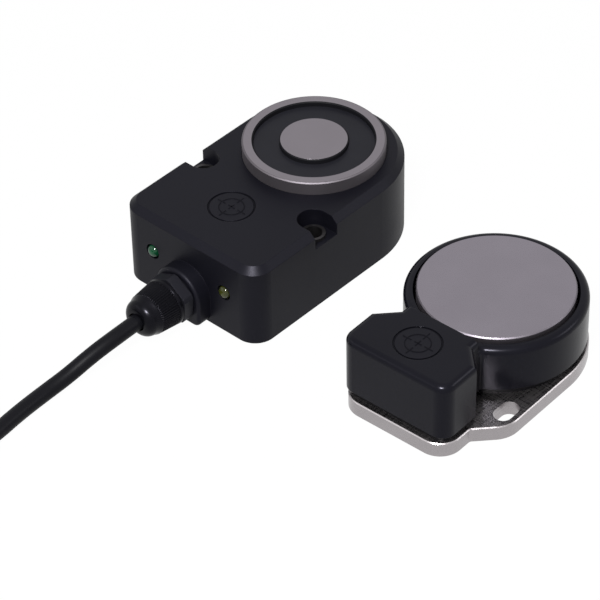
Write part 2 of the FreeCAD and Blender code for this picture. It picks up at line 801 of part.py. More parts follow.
def build_gland_nut():
    """The dome nut: a finely ribbed grip that narrows a little, then a smooth domed nose."""
    nut = new_body("DomeNut")
    grip_end = "nut_collar + nut_grip"
    slope = "(nut_radius - nut_front_radius) / (nut_length - nut_nose)"
    bore = "thread_radius + thread_gap"
    cone_foot = "stub_length - nut_back_gap + claw_length - claw_gap"
    profile = [(bore, "0"), ("nut_radius", "0"),
               (f"nut_radius - {slope} * ({grip_end})", grip_end),
               ("nut_front_radius", "nut_length - nut_nose"),
               ("nut_nose_radius", "nut_length"), ("nut_mouth", "nut_length"),
               ("nut_mouth", "nut_length - nut_wall"), (bore, cone_foot)]
    revolve(nut, outline(nut, profile, "XZ_Plane"))
    soften(nut, "Fillet", "nut_nose_edge", lambda e: level_at("nut_length")(e)
           and e.BoundBox.XLength > 2 * number("nut_mouth") + 0.1)

    def groove(height):
        outer = f"nut_radius - {slope} * ({height})"
        beyond = f"{outer} + rib_depth"
        corners = [(f"{outer} - rib_depth", "0"), (beyond, "-rib_gap"), (beyond, "rib_gap")]
        return outline(nut, corners, offset=height)

    low, high = groove("nut_collar"), groove(grip_end)
    cutter = nut.newObject("PartDesign::SubtractiveLoft", "Groove")
    cutter.Profile = low
    cutter.Sections = [high]
    cutter.Ruled = True
    doc.recompute()
    row = nut.newObject("PartDesign::PolarPattern", "Ribs")
    row.Originals = [cutter]
    axis = [f for f in nut.Origin.OriginFeatures if f.Role == "Z_Axis"][0]
    row.Axis = (axis, [""])
    row.Angle = 360
    bind(row, Occurrences="rib_count")
    nut.Tip = row
    doc.recompute()
    on_gland(nut, "gland_nut", NUT_BACK)


# ---------------------------------------------------------------- cable

def route():
    """The cable's free route on the table: its corner points from the gland's mouth to the coil."""
    mouth = V(0, number(f"{BOSS_FACE} - ({NUT_BACK}) - nut_length - 1"), number("gland_z"))
    floor = number("cable_radius")
    return [mouth,
            V(0.0, -103.5, 11.0),
            V(-1.6, -113.5, 8.6),
            V(-3.3, -123.5, 4.9),
            V(-4.6, -134.0, floor),
            V(-3.9, -147.0, floor),
            V(-2.2, -160.0, floor + 0.1),
            V(-1.3, -172.0, floor + 1.2),
            V(-1.3, -184.0, floor + 3.3),
            in_coil(1, "coil_entry")]


def in_coil(side, around):
    """Where a turn crosses the coil's own X axis, on its +X (1) or -X (-1) side."""
    ring = number("coil_bundle - cable_radius")
    slope = math.radians(number(around))
    return V(number("coil_x") + side * (number("coil_mean_radius") + ring * math.cos(slope)),
             number("coil_y"), number("coil_bundle + tie_thick") + ring * math.sin(slope))


def rounded_path(points):
    """Straight runs joined by tangent arcs, each as large as its two runs allow."""
    edges, radii = [], []
    here = points[0]
    for a, b, c in zip(points, points[1:], points[2:]):
        into, out = (b - a), (c - b)
        turn = into.getAngle(out)
        reach = 0.45 * min(into.Length, out.Length)
        radii.append(reach / math.tan(turn / 2))
        start = b - into.normalize() * reach
        end = b + out.normalize() * reach
        bisector = (start + end) * 0.5 - b
        centre = b + bisector * (radii[-1] / math.cos(turn / 2) / bisector.Length)
        middle = centre + (b - centre).normalize() * radii[-1]
        edges += [Part.makeLine(here, start), Part.Arc(start, middle, end).toShape()]
        here = end
    edges.append(Part.makeLine(here, points[-1]))
    return Part.Wire(edges), radii


def sweep(path, radius):
    start = path.Edges[0]
    ring = Part.makeCircle(radius, start.valueAt(start.FirstParameter),
                           start.tangentAt(start.FirstParameter))
    return path.makePipeShell([Part.Wire([ring])], True, False)


def build_cable():
    radius = number("cable_radius")
    inner_end = "-(lock_front - lock_wall - cable_inside)"
    mouth = f"{BOSS_FACE} - ({NUT_BACK}) - nut_length - 1"
    tail = cylinder("cable_radius", f"{inner_end} - ({mouth})", y=inner_end, z="gland_z",
                    turn=ALONG_FRONT)
    piece(tail, "cable_tail")

    path, radii = rounded_path(route())
    print("cable radii:", " ".join(f"{r:.0f}" for r in radii))
    solid = sweep(path, radius)
    print("cable length", round(path.Length, 1), "volume", round(solid.Volume, 1),
          "of", round(math.pi * radius ** 2 * path.Length, 1))
    made = doc.addObject("Part::Feature", "Cable")
    made.Shape = solid
    piece(made, "cable")

    piece(place(bundle("coil_bundle"), "coil_x", "coil_y", "coil_bundle + tie_thick"), "cable_coil")


def bundle(radius, angle="360"):
    """A ring of wound turns, or a part of it, lying flat round its own +Z."""
    ring = doc.addObject("Part::Torus", "Bundle")
    return bind(ring, Radius1="coil_mean_radius", Radius2=radius, Angle3=angle)


def build_ties():
    """Bands round the coil, each fitting the bundle that it holds."""
    count = int(number("tie_count"))
    angle = f"tie_width / coil_mean_radius * {math.degrees(1):.4f}"
    ties = []
    for i in range(count):
        band = cut(bundle("coil_bundle + tie_thick", angle), bundle("coil_bundle"))
        turn = Turn(V(0, 0, 1), 360 / count * i + number("tie_start"))
        ties.append(place(band, "coil_x", "coil_y", "coil_bundle + tie_thick", turn))
    piece(group(*ties), "coil_ties")


def build_cable_end():
    """The cable's free end beside the coil, with its cores stripped and crimped."""
    start, radius = in_coil(-1, "coil_exit"), number("cable_radius")
    end = V(start.x, start.y + number("end_length"), radius)
    path, _ = rounded_path([start, V(start.x, start.y + 12, radius + 1),
                            V(start.x, start.y + 24, radius), end])
    sheath = doc.addObject("Part::Feature", "CableEnd")
    sheath.Shape = sweep(path, radius)
    piece(sheath, "cable_end")
    along = Turn(V(1, 0, 0), -90)
    cores = []
    for i in range(int(number("wire_count"))):
        angle = 2 * math.pi * i / number("wire_count")
        x = f"{end.x} + core_ring * {math.cos(angle):.4f}"
        z = f"cable_radius + core_ring * {math.sin(angle):.4f}"
        core = cylinder("wire_radius", "core_length", x, f"{end.y}", z, along)
        tip = cylinder("wire_radius * 0.7", "ferrule_length", x, f"{end.y} + core_length", z, along)
        cores.append(fuse(core, tip))
    piece(group(*cores), "cable_cores")


# ---------------------------------------------------------------- actuator

def on_actuator(thing, label, y="0", z="0"):
    """Set a piece of the actuator in its place beside the lock unit, turned a little."""
    place(thing, y=y, z=z)
    made = group(thing)
    made.Placement.Rotation = Turn(V(0, 0, 1), number("actuator_turn"))
    made.setExpression("Placement.Rotation.Angle", tied("actuator_turn * 1 deg"))
    made.setExpression("Placement.Base.x", tied("actuator_x"))
    made.setExpression("Placement.Base.y", tied("actuator_y"))
    return piece(made, label)


PAD_TOP = "plate_thick + pad_thick"
HOUSING_SCREWS = [(sign + x, "-" + y) for x, y in (("front_screw_x", "front_screw_y"),)
                  for sign in ("", "-")]
REAR_SCREWS = [("rear_screw_x", "rear_screw_y"), ("-rear_screw_x", "rear_screw_y")]


def slot(x):
    """A mounting slot through the plate, long in the actuator's own length."""
    run = "slot_length - slot_radius * 2"
    ends = [cylinder("slot_radius", "plate_thick", x, f"-slot_y {side} ({run}) / 2")
            for side in "+-"]
    middle = block("slot_radius * 2", run, "plate_thick", f"{x} - slot_radius",
                   f"-slot_y - ({run}) / 2")
    return fuse(*ends, middle)


def build_plate():
    plate = new_body("PlateBlank")
    side, narrow = "plate_radius", "plate_half_width"
    step = f"-(ear_front + {side} - {narrow})"
    corners = [(f"-{side}", "0"), (f"-{side}", "-ear_front"), (f"-{narrow}", step),
               (f"-{narrow}", "-plate_front"), (narrow, "-plate_front"), (narrow, step),
               (side, "-ear_front"), (side, "0")]
    pad(plate, outline(plate, corners), "plate_thick")
    pad(plate, rings(plate, [("0", "0", side)]), "plate_thick")
    soften(plate, "Fillet", "plate_corner", upright_at(narrow, "-plate_front"))
    soften(plate, "Fillet", "ear_corner", upright_at(side, "-ear_front"))
    soften(plate, "Fillet", "plate_edge * 4", upright_at(narrow, step))
    soften(plate, "Chamfer", "plate_edge", level_at("plate_thick"))
    holes = [slot("slot_x"), slot("-slot_x")]
    holes += [countersink("housing_screw_radius", "housing_screw_head", "plate_thick", x, y)
              for x, y in HOUSING_SCREWS + REAR_SCREWS]
    holes.append(cylinder("bolt_pocket_radius", "bolt_pocket_depth"))
    holes.append(cylinder("bolt_bore", "plate_thick"))
    on_actuator(cut(plate, *holes), "actuator_plate")


def housing_plan(body, inset, low, high):
    """The plan of the actuator's housing: its collar and the foot of its sensor block."""
    side, neck = f"block_half_width - {inset}", f"neck_half_width - {inset}"
    front = f"-(block_front - {inset})"
    slant = f"-(block_side_rear - ({side} - ({neck})))"
    corners = [(f"-({side})", front), (side, front), (side, "-block_side_rear"),
               (neck, slant), (neck, "-block_rear + neck_reach"), (f"-({neck})", "-block_rear + neck_reach"),
               (f"-({neck})", slant), (f"-({side})", "-block_side_rear")]
    pad(body, outline(body, corners, offset=low), f"{high} - ({low})")
    soften(body, "Fillet", f"block_corner - {inset}", upright_at(side, front))
    pad(body, rings(body, [("0", "0", f"collar_radius - {inset}")], offset=low),
        f"{high} - ({low})")


def build_actuator_housing():
    foot = new_body("HousingFoot")
    housing_plan(foot, "0", PAD_TOP, "collar_top")
    meeting = "-sqrt(collar_radius ^ 2 - neck_half_width ^ 2)"
    soften(foot, "Fillet", "neck_fillet", upright_at("neck_half_width", meeting))
    rim = number("collar_radius")
    soften(foot, "Fillet", "collar_edge", level_at("collar_top", lambda x, y:
           abs(math.hypot(x, y) - rim) < 0.1))

    tall = new_body("SensorBlock")
    side, neck = "block_half_width", "neck_half_width"
    slant = f"-(block_side_rear - ({side} - {neck}))"
    corners = [(f"-{side}", "-block_front"), (side, "-block_front"), (side, "-block_side_rear"),
               (neck, slant), (neck, "-block_rear"), (f"-{neck}", "-block_rear"),
               (f"-{neck}", slant), (f"-{side}", "-block_side_rear")]
    pad(tall, outline(tall, corners, offset=PAD_TOP), f"block_top - ({PAD_TOP})")
    soften(tall, "Fillet", "block_corner", upright_at(side, "-block_front"))
    rear = number("-block_rear") - 0.1
    soften(tall, "Fillet", "block_edge", level_at("block_top", lambda x, y: y < rear))

    cup = cylinder("disc_radius + cup_gap", "block_top", z="cup_floor")
    posts = [cylinder("screw_post", f"rear_post_top - ({PAD_TOP})", x, y, PAD_TOP)
             for x, y in REAR_SCREWS]
    solid = fuse(cut(fuse(foot, tall), cup), *posts)
    holes = [cylinder("bolt_bore", "block_top", z=PAD_TOP)]
    holes += [cylinder("housing_screw_radius + cover_gap", "housing_screw_length", x, y)
              for x, y in HOUSING_SCREWS]
    holes += [cylinder("housing_screw_radius + cover_gap", "rear_screw_length + 0.5", x, y)
              for x, y in REAR_SCREWS]
    tag_top = "block_top - tag_cover - target_depth"
    holes.append(cylinder("tag_radius + tag_gap", f"{tag_top} - ({PAD_TOP})", y="-target_y",
                          z=PAD_TOP))
    holes.append(cylinder("target_radius", "target_depth + 1", y="-target_y",
                          z="block_top - target_depth"))
    on_actuator(cut(solid, *holes), "actuator_housing")

    tag_low = f"{tag_top} - tag_thick"
    on_actuator(cylinder("tag_radius", "tag_thick"), "transponder", y="-target_y", z=tag_low)
    on_actuator(cylinder("tag_radius", f"{tag_low} - ({PAD_TOP})"), "transponder_potting",
                y="-target_y", z=PAD_TOP)


def build_pad():
    rubber = new_body("PadBlank")
    housing_plan(rubber, "pad_inset", "plate_thick", PAD_TOP)
    holes = [cylinder("bolt_pocket_radius", "pad_thick", z="plate_thick")]
    holes += [cylinder("housing_screw_radius + cover_gap", "pad_thick", x, y, "plate_thick")
              for x, y in HOUSING_SCREWS + REAR_SCREWS]
    on_actuator(cut(rubber, *holes), "base_pad")


def build_housing_screws():
    screws = [countersunk_screw("housing_screw_radius", "housing_screw_head", length, x, y)
              for spots, length in ((HOUSING_SCREWS, "housing_screw_length - 0.5"),
                                    (REAR_SCREWS, "rear_screw_length")) for x, y in spots]
    on_actuator(group(*screws), "housing_screws")


DISC_FOOT = "disc_top - disc_thick"
HUB_FOOT = "disc_top - disc_thick - hub_length"
RING_TOP = "disc_top - disc_thick - ring_gap"
RING_FOOT = "disc_top - disc_thick - ring_gap - ring_thick"
HEAD_TOP = "bolt_pocket_depth - rocker_gap - rocker_thick - rocker_gap"


def build_armature():
    """The steel disc that the magnet holds, carried so that it can sink and tilt a little."""
    disc = new_body("Disc")
    thread = "bolt_radius + cover_gap"
    profile = [(thread, HUB_FOOT), ("hub_radius", HUB_FOOT), ("hub_radius", DISC_FOOT),
               ("disc_radius", DISC_FOOT), ("disc_radius", "disc_top"), ("0", "disc_top"),
               ("0", f"{DISC_FOOT} + 1"), (thread, f"{DISC_FOOT} + 1")]
    revolve(disc, outline(disc, profile, "XZ_Plane"))
    soften(disc, "Chamfer", "disc_edge", lambda e: level_at("disc_top")(e)
           or (level_at(DISC_FOOT)(e) and e.BoundBox.XLength > 40))
    on_actuator(disc, "armature_disc")

    head_foot = f"{HEAD_TOP} - bolt_head_thick"
    shank = cylinder("bolt_radius", f"{DISC_FOOT} - ({HEAD_TOP})", z=HEAD_TOP)
    head = cylinder("bolt_head_radius", "bolt_head_thick", z=head_foot)
    key = doc.addObject("Part::Prism", "KeySocket")
    key.Polygon = 6
    bind(key, Circumradius="bolt_radius * 0.8", Height="bolt_head_thick * 0.6")
    place(key, z=head_foot)
    on_actuator(cut(fuse(head, shank), key), "armature_bolt")

    washer = tube("rocker_radius", "rocker_bore", "rocker_thick")
    on_actuator(washer, "rocker_washer", z=f"{HEAD_TOP} + rocker_gap")

    ring = new_body("RockerRing")
    edge = f"{RING_TOP} - ring_slope"
    profile = [("spring_bore", RING_FOOT), ("spring_radius", RING_FOOT), ("spring_radius", edge),
               ("spring_bore", RING_TOP)]
    revolve(ring, outline(ring, profile, "XZ_Plane"))
    on_actuator(ring, "pressure_ring")


def build_springs():
    """Conical spring washers, stacked edge to edge between the cup's floor and the ring."""
    step = f"(({RING_FOOT}) - cup_floor) / spring_count"
    washers = []
    for i in range(int(number("spring_count"))):
        near, far = ("spring_bore", "spring_radius")[::1 if i % 2 == 0 else -1]
        foot = f"cup_floor + ({step}) * {i}"
        top = f"{foot} + {step} - spring_play"
        washer = new_body("SpringWasher")
        corners = [(near, foot), (near, f"{foot} + spring_thick"), (far, top),
                   (far, f"{top} - spring_thick")]
        revolve(washer, outline(washer, corners, "XZ_Plane"))
        washers.append(washer)
    on_actuator(group(*washers), "cup_springs")


# ---------------------------------------------------------------- build, check and write

def build():
    build_lock_housing()
    build_rear_cover()
    build_mounting_sleeves()
    build_magnet()
    build_board()
    build_core_wires()
    build_coil_leads()
    build_reader()
    build_indicators()
    build_gland_body()
    build_gland_clamp()
    build_gland_nut()
    build_cable()
    build_ties()
    build_cable_end()
    build_plate()
    build_pad()
    build_actuator_housing()
    build_housing_screws()
    build_armature()
    build_springs()
    doc.recompute()


def check():
    """Stop before anything is written if an object failed or a sub-part isn't sound."""
    for thing in doc.Objects:
        if {"Invalid", "Error"} & set(thing.State):
            raise RuntimeError(f"{thing.Label} failed: {thing.State}")
    for node in nodes:
        if node.Shape.isNull() or not node.Shape.isValid() or not node.Shape.Solids:
            raise RuntimeError(f"{node.Label} has no sound shape")
    print(len(nodes), "nodes,", sum(len(node.Shape.Solids) for node in nodes), "solids")


build()
check()
os.makedirs("parts", exist_ok=True)
for node in nodes:
    node.Shape.exportStep(f"parts/{node.Label}.step")
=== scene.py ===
# %% [markdown]
# # A magnetic guard lock
# This lesson dresses a two-part lock for a machine guard. The lock unit holds an electromagnet and
# a cable, and the actuator carries the steel disc that the magnet pulls. The solids come ready made
# and stay where they are, so the work here is surfaces, light, and the few pieces that a solid
# can't show well: the cable with its bands and free cores, the ribbed nut, the screws, the springs
# under the disc and the sighting marks.

# %% Load the solids
import math
import bmesh
import bpy
from mathutils import Matrix, Vector


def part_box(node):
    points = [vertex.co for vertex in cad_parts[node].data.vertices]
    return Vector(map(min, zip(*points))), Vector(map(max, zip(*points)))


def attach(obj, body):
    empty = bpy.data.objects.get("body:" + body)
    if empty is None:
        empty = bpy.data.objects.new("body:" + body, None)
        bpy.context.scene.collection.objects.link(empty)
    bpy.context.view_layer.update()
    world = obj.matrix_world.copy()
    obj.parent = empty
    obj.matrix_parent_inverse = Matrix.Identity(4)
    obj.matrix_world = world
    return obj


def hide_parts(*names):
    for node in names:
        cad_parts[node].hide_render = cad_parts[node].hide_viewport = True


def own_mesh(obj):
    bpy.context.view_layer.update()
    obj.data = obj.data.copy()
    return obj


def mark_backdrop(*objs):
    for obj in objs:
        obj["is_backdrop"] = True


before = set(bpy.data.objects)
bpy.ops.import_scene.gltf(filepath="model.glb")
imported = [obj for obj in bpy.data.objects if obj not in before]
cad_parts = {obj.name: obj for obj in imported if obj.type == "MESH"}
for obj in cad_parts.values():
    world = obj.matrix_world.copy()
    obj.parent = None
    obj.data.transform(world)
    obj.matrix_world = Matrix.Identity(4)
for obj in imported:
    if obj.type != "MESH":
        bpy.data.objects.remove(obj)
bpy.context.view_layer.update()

MM = 0.001


def show(name, data):
    """An object for a mesh, a curve, a light or a camera, linked into the scene."""
    made = bpy.data.objects.new(name, data)
    bpy.context.scene.collection.objects.link(made)
    return made


# %% [markdown]
# A product shot is taken with a long lens from well back, so that upright edges stay parallel. The
# camera is placed by two angles and a small tilt round a point between the two units. Its axes are
# worked out once and written into one matrix, which is simpler than three separate turns.

# %% Place the camera
AROUND, ABOVE, TILT = 0.751293, 0.702372, -0.02149
DISTANCE = 1.1167
LENS, SENSOR = 188.57, 36
LOOK_AT = Vector((0.02574, -0.03669, 0.0))


def camera_axes(around, above, tilt):
    """The camera's own right, up and backward directions."""
    back = Vector((math.sin(around) * math.cos(above), -math.cos(around) * math.cos(above),
                   math.sin(above)))
    level = Vector((math.cos(around), math.sin(around), 0))
    upward = back.cross(level)
    right = level * math.cos(tilt) + upward * math.sin(tilt)
    return right, upward * math.cos(tilt) - level * math.sin(tilt), back


right, up, back = camera_axes(AROUND, ABOVE, TILT)
camera = show("Camera", bpy.data.cameras.new("Camera"))
camera.data.sensor_width = SENSOR
camera.data.lens = LENS
camera.matrix_world = Matrix.Translation(LOOK_AT + back * DISTANCE) @ Matrix(
    (right, up, back)).transposed().to_4x4()
bpy.context.scene.camera = camera
bpy.context.scene.view_settings.view_transform = "Standard"
print("camera at", tuple(round(x, 3) for x in camera.location))

# %% [markdown]
# The cable is 2 m of round sheathed lead. Where it leaves the gland it sinks to the table in a soft
# bend, and the rest is wound into a coil held by bands. A NURBS curve suits it: a few listed points
# give a line with no kinks. The coil is a loop: each turn lies beside the last one, a little
# further round the edge of the bundle, as the strands of a rope do, so no two turns meet.

# %% Lay the cable's line
CABLE_RADIUS = 3.0
ROUTE = [(0, -93.7, 11.2), (0, -103.5, 11.0), (-1.6, -113.5, 8.6), (-3.3, -123.5, 4.9),
         (-4.6, -134, 3), (-3.9, -147, 3), (-2.2, -160, 3.1), (-1.3, -172, 4.2),
         (-1.3, -184, 6.3)]
COIL = Vector((-43.2, -196.0, 12.8))
COIL_RADIUS = 35.0
BUNDLE_RADIUS = 11.8
TURNS = 8.5
POINTS_A_TURN = 16
LAY_ENTRY, LAY_STEP = -40, 40
TAIL = [(12, 4), (24, CABLE_RADIUS), (40, CABLE_RADIUS)]


def on_coil(turn):
    """The point of the coil after that many turns."""
    around = math.radians(LAY_ENTRY + LAY_STEP * turn)
    off_centre = BUNDLE_RADIUS - CABLE_RADIUS
    reach = COIL_RADIUS + off_centre * math.cos(around)
    angle = -2 * math.pi * turn
    return COIL + Vector((reach * math.cos(angle), reach * math.sin(angle),
                          off_centre * math.sin(around)))


line = [Vector(p) for p in ROUTE]
for step in range(int(TURNS * POINTS_A_TURN) + 1):
    line.append(on_coil(step / POINTS_A_TURN))
leaves = line[-1]
line += [Vector((leaves.x, leaves.y + ahead, height)) for ahead, height in TAIL]
SHEATH_END = line[-1]
print("points on the cable's line:", len(line))

# %% [markdown]
# A curve with a bevel becomes a tube. The order and the end option of the spline are set after its
# points, because they are counted from the points that it has at that moment.

# %% Make the cable


def tube_mesh(points, radius, slot=0, steps=4, around=2):
    """A smooth round tube along a line of points in millimetres, as a mesh.

    A radius of 0 gives the line down its middle."""
    curve = bpy.data.curves.new("tube", "CURVE")
    curve.dimensions = "3D"
    curve.bevel_depth = radius * MM
    curve.bevel_resolution = around
    curve.resolution_u = steps
    curve.use_fill_caps = True
    spline = curve.splines.new("NURBS")
    spline.points.add(len(points) - 1)
    for spot, place in zip(spline.points, points):
        spot.co = (*(place * MM), 1)
    spline.order_u = 3
    spline.use_endpoint_u = True
    holder = show("tube", curve)
    graph = bpy.context.evaluated_depsgraph_get()
    mesh = bpy.data.meshes.new_from_object(holder.evaluated_get(graph))
    bpy.data.objects.remove(holder)
    for face in mesh.polygons:
        face.material_index = slot
    return mesh


middle = [v.co.copy() for v in tube_mesh(line, 0, steps=5).vertices]
tube = tube_mesh(line, CABLE_RADIUS, steps=5, around=5)
tube.shade_smooth()
tube.set_sharp_from_angle(angle=math.radians(50))
cable = show("sheathed_cable", tube)
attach(cable, "lock_unit")
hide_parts("cable", "cable_coil", "cable_end")

# %% [markdown]
# A finish is a tree of shader nodes. Writing one node at a time hides the idea, so two small classes
# let it read like arithmetic: Wire wraps an output and takes +, -, *, / and **, and Sheet adds any
# other node from its type, its settings and what goes into its sockets. The same Sheet draws
# Geometry Nodes, because both kinds of tree use the same Math node.

# %% Write node trees as arithmetic


class Wire:
    """An output socket that can stand in a sum."""

    def __init__(self, sheet, socket):
        self.sheet, self.socket = sheet, socket

    def math(self, operation, first, second=0.0):
        """A Math node of that operation."""
        return self.sheet.add("ShaderNodeMath", {"operation": operation}, {0: first, 1: second})

    def __add__(self, other):
        return self.math("ADD", self, other)

    def __sub__(self, other):
        return self.math("SUBTRACT", self, other)

    def __rsub__(self, other):
        return self.math("SUBTRACT", other, self)

    def __mul__(self, other):
        return self.math("MULTIPLY", self, other)

    def __truediv__(self, other):
        return self.math("DIVIDE", self, other)

    def __pow__(self, other):
        return self.math("POWER", self, other)

    def sine(self):
        return self.math("SINE", self)

    def greater(self, limit):
        return self.math("GREATER_THAN", self, limit)

    def part(self, name):
        """Another output of the same node."""
        return Wire(self.sheet, self.socket.node.outputs[name])

    __radd__ = __add__


class Sheet:
    """A node tree being drawn."""

    def __init__(self, tree):
        self.tree = tree

    def plug(self, value, socket):
        """Link a wire to a socket, or write a plain value there."""
        if isinstance(value, Wire):
            self.tree.links.new(value.socket, socket)
        elif isinstance(value, (list, tuple)) and socket.type == "RGBA" and len(value) == 3:
            socket.default_value = (*value, 1)
        else:
            socket.default_value = value

    def add(self, kind, settings=None, inputs=None):
        """A new node, handed back as the wire of its first output."""
        node = self.tree.nodes.new(kind)
        for name, value in (settings or {}).items():
            setattr(node, name, value)
        for key, value in (inputs or {}).items():
            self.plug(value, node.inputs[key])
        return Wire(self, next((s for s in node.outputs if s.enabled), None))


# %% [markdown]
# Every finish here is one Principled shader. Numbers that are the same all over go straight onto the
# shader's sockets. What changes over the surface is drawn from Object coordinates, which are metres
# on these pieces, so a grain of 0.4 mm is a noise of scale 2500.

# %% Start a finish


class Finish:
    """A material with one Principled shader and the coordinates that its pattern reads."""

    def __init__(self, name, **constants):
        self.material = bpy.data.materials.new(name)
        self.material.use_nodes = True
        self.sheet = Sheet(self.material.node_tree)
        self.shader = self.material.node_tree.nodes["Principled BSDF"]
        self.place = self.sheet.add("ShaderNodeTexCoord").part("Object")
        for socket, value in constants.items():
            self.set(socket.replace("_", " "), value)

    def set(self, socket, value):
        """Give one of the shader's own sockets a wire or a plain value."""
        self.sheet.plug(value, self.shader.inputs[socket])

    def noise(self, scale, detail=2.0, rough=0.5, place=None):
        """A cloudy pattern between 0 and 1, with that many clouds in a metre."""
        return self.sheet.add("ShaderNodeTexNoise", None, {
            "Vector": place or self.place, "Scale": scale, "Detail": detail,
            "Roughness": rough}).part("Fac")

    def blend(self, mask, first, second):
        """One colour where the mask is 0, the other where it is 1."""
        made = self.sheet.add("ShaderNodeMix", {"data_type": "RGBA"})
        node = made.socket.node
        colours = [s for s in node.inputs if s.type == "RGBA"]
        self.sheet.plug(mask, node.inputs[0])
        self.sheet.plug(first, colours[0])
        self.sheet.plug(second, colours[1])
        return Wire(self.sheet, next(s for s in node.outputs if s.type == "RGBA"))

    def bump(self, height, strength, depth, edge=0.0):
        """Raise the surface by a pattern, over edges that look rounded by that radius."""
        made = self.sheet.add("ShaderNodeBump", None, {
            "Strength": strength, "Distance": depth, "Height": height})
        if edge:
            soft = self.sheet.add("ShaderNodeBevel", {"samples": 4}, {"Radius": edge})
            self.sheet.plug(soft, made.socket.node.inputs["Normal"])
        self.set("Normal", made)

    def away_from(self, x, y):
        """Distance in metres from an upright axis."""
        parts = self.sheet.add("ShaderNodeSeparateXYZ", None, {0: self.place})
        east, north = parts.part("X") - x, parts.part("Y") - y
        return (east * east + north * north) ** 0.5


# %% [markdown]
# The housings are glass-filled nylon, moulded in steel tools whose faces were spark eroded. That
# leaves an even, very fine grain, which scatters the light and makes the black look soft. Handling
# polishes it unevenly, so the roughness drifts a little over centimetres. The lock unit is the duller
# of the two; the actuator's mould was finer, and its edges catch brighter lights. The gland's parts,
# the cover and the actuator's sighting mark have finishes of their own. A flat ring laid in the
# narrow gap round a mark is painted black with hardly any gloss, as painted shade, and the mark's
# lines take the same black.

# %% Black mouldings


def moulding(name, colour, dullness, grain, depth, edge=0.0003):
    """A black moulded plastic: an even fine grain under a slow drift of the gloss.

    The grain is a noise of that scale and depth, and corners look rounded by the edge."""
    finish = Finish(name, IOR=1.5, Specular_IOR_Level=0.11, Specular_Tint=(0.86, 0.84, 1, 1))
    drift = finish.noise(38, 3)
    fine = finish.noise(grain, 1)
    finish.set("Base Color", finish.blend(drift, colour, [c * 1.5 for c in colour]))
    finish.set("Roughness", dullness + (drift - 0.5) * 0.16 + (fine - 0.5) * 0.1)
    finish.bump(fine, 0.35, depth, edge)
    return finish.material


lock_plastic = moulding("lock_housing_nylon", (0.0017, 0.0017, 0.0028), 0.45, grain=2600, depth=0.00004)
actuator_plastic = moulding("actuator_housing_nylon", (0.0018, 0.0018, 0.0028), 0.24, grain=3200,
                            depth=0.000015, edge=0.0002)
gland_plastic = moulding("gland_nylon", (0.0008, 0.0008, 0.0012), 0.23, grain=2800, depth=0.000008,
                         edge=0.00015)
# Painted light: the hexagon's black is painted lighter than the nut's, standing in for the light its facets
# catch.
hex_plastic_painted_lighter = moulding("gland_body_nylon", (0.005, 0.005, 0.0065), 0.36, grain=2800, depth=0.000008,
                       edge=0.0002)
mark_plastic = moulding("mark_nylon", (0.0018, 0.0018, 0.0028), 0.36, grain=3000, depth=0.000015, edge=0)
# Painted shade: a black with hardly any gloss for the ring in the gap round a mark; the mark's lines use it
# too.
painted_gap_shade_and_mark_lines = moulding("painted_gap_shade_and_mark_lines", (0.001, 0.001, 0.0015), 0.95, grain=1500, depth=0.00002)
cover_plastic = moulding("cover_nylon", (0.009, 0.009, 0.0115), 0.56, grain=1900, depth=0.00007)

# %% [markdown]
# The magnet's ring and core are one piece of soft iron with a thin nickel coat, and the actuator's
# disc is ground and nickelled too. A lathe leaves rings round the axis. Their pitch is a fraction of
# a millimetre, far below what is seen as lines, so they only break up the gloss: a sine of the
# distance from the axis, mixed with noise so that the rings aren't all alike. The turned rim is
# duller than the ground face, and its colour is painted darker as painted shade, which also dims
# its glints. Between the core and the ring's bore the iron is painted black, walls and chamfers
# alike, as painted shade in the well that also hides their glints. Only those walls show the low
# specular level, because a metal doesn't use it.

# %% Turned metal
# Painted shade: the black painted on the walls inside the magnet's ring.
PAINTED_SHADE_BLACK = (0.004, 0.004, 0.005)


def turned(name, colour, dullness, axis, pitch, depth, strength, rim, shade, dark=None):
    """A machined metal face with fine rings round an upright axis.

    Beyond its rim it is duller, and painted darker as painted shade. Between the two radii of dark
    it is painted black, as painted shade."""
    finish = Finish(name, Metallic=1.0, Specular_IOR_Level=0.05)
    reach = finish.away_from(*axis)
    cloud = finish.noise(60, 4, 0.6)
    speck = finish.noise(1500, 2, 0.6)
    rings = (reach * (2 * math.pi / pitch) + cloud * 9).sine()
    bare = finish.blend(cloud, [c * 0.93 for c in colour], [c * 1.05 for c in colour])
    gloss = dullness + (cloud - 0.5) * 0.08 + (speck - 0.5) * 0.07
    # Painted shade: beyond the rim the colour is painted darker, which dims its glints; the gloss is duller
    # there too.
    outside = reach.greater(rim)
    bare = finish.blend(outside, bare, [c * shade for c in colour])
    gloss = gloss + outside * 0.2
    # Painted shade: between the two radii the iron is painted black and not metallic, hiding the well's
    # walls and their glints.
    if dark:
        inside = reach.greater(dark[0]) * (1 - reach.greater(dark[1]))
        bare = finish.blend(inside, bare, PAINTED_SHADE_BLACK)
        gloss = gloss + inside * 0.2
        finish.set("Metallic", 1 - inside)
    finish.set("Base Color", bare)
    finish.set("Roughness", gloss)
    finish.bump(rings * 0.5 + speck, strength, depth)
    return finish.material


ACTUATOR_PLACE = (93.9, -10.7)
DISC_AXIS = [side * MM for side in ACTUATOR_PLACE]
# Painted shade: both metals are painted darker beyond their rims, and the magnet's iron black between the
# core and the bore.
pole_metal = turned("nickelled_iron", (0.205, 0.187, 0.207), 0.37, axis=(0, 0), pitch=0.0004,
                    depth=0.00001, strength=0.25, rim=0.0254, shade=0.5, dark=(0.0121, 0.02245))
disc_metal = turned("ground_nickel_disc", (0.231, 0.211, 0.242), 0.27, axis=DISC_AXIS, pitch=0.0003,
                    depth=0.000006, strength=0.2, rim=0.0273, shade=0.55)

# %% [markdown]
# The mounting plate is blanked stainless steel that was tumbled: bright, with faint scratches that
# run every way. A noise stretched along one direction looks like a scratch, so two of them, stretched
# across each other, make the tumbled look. Bushes, screws, springs and tinned wire are the same
# metal shader without the tumbling.

# %% Plain metals


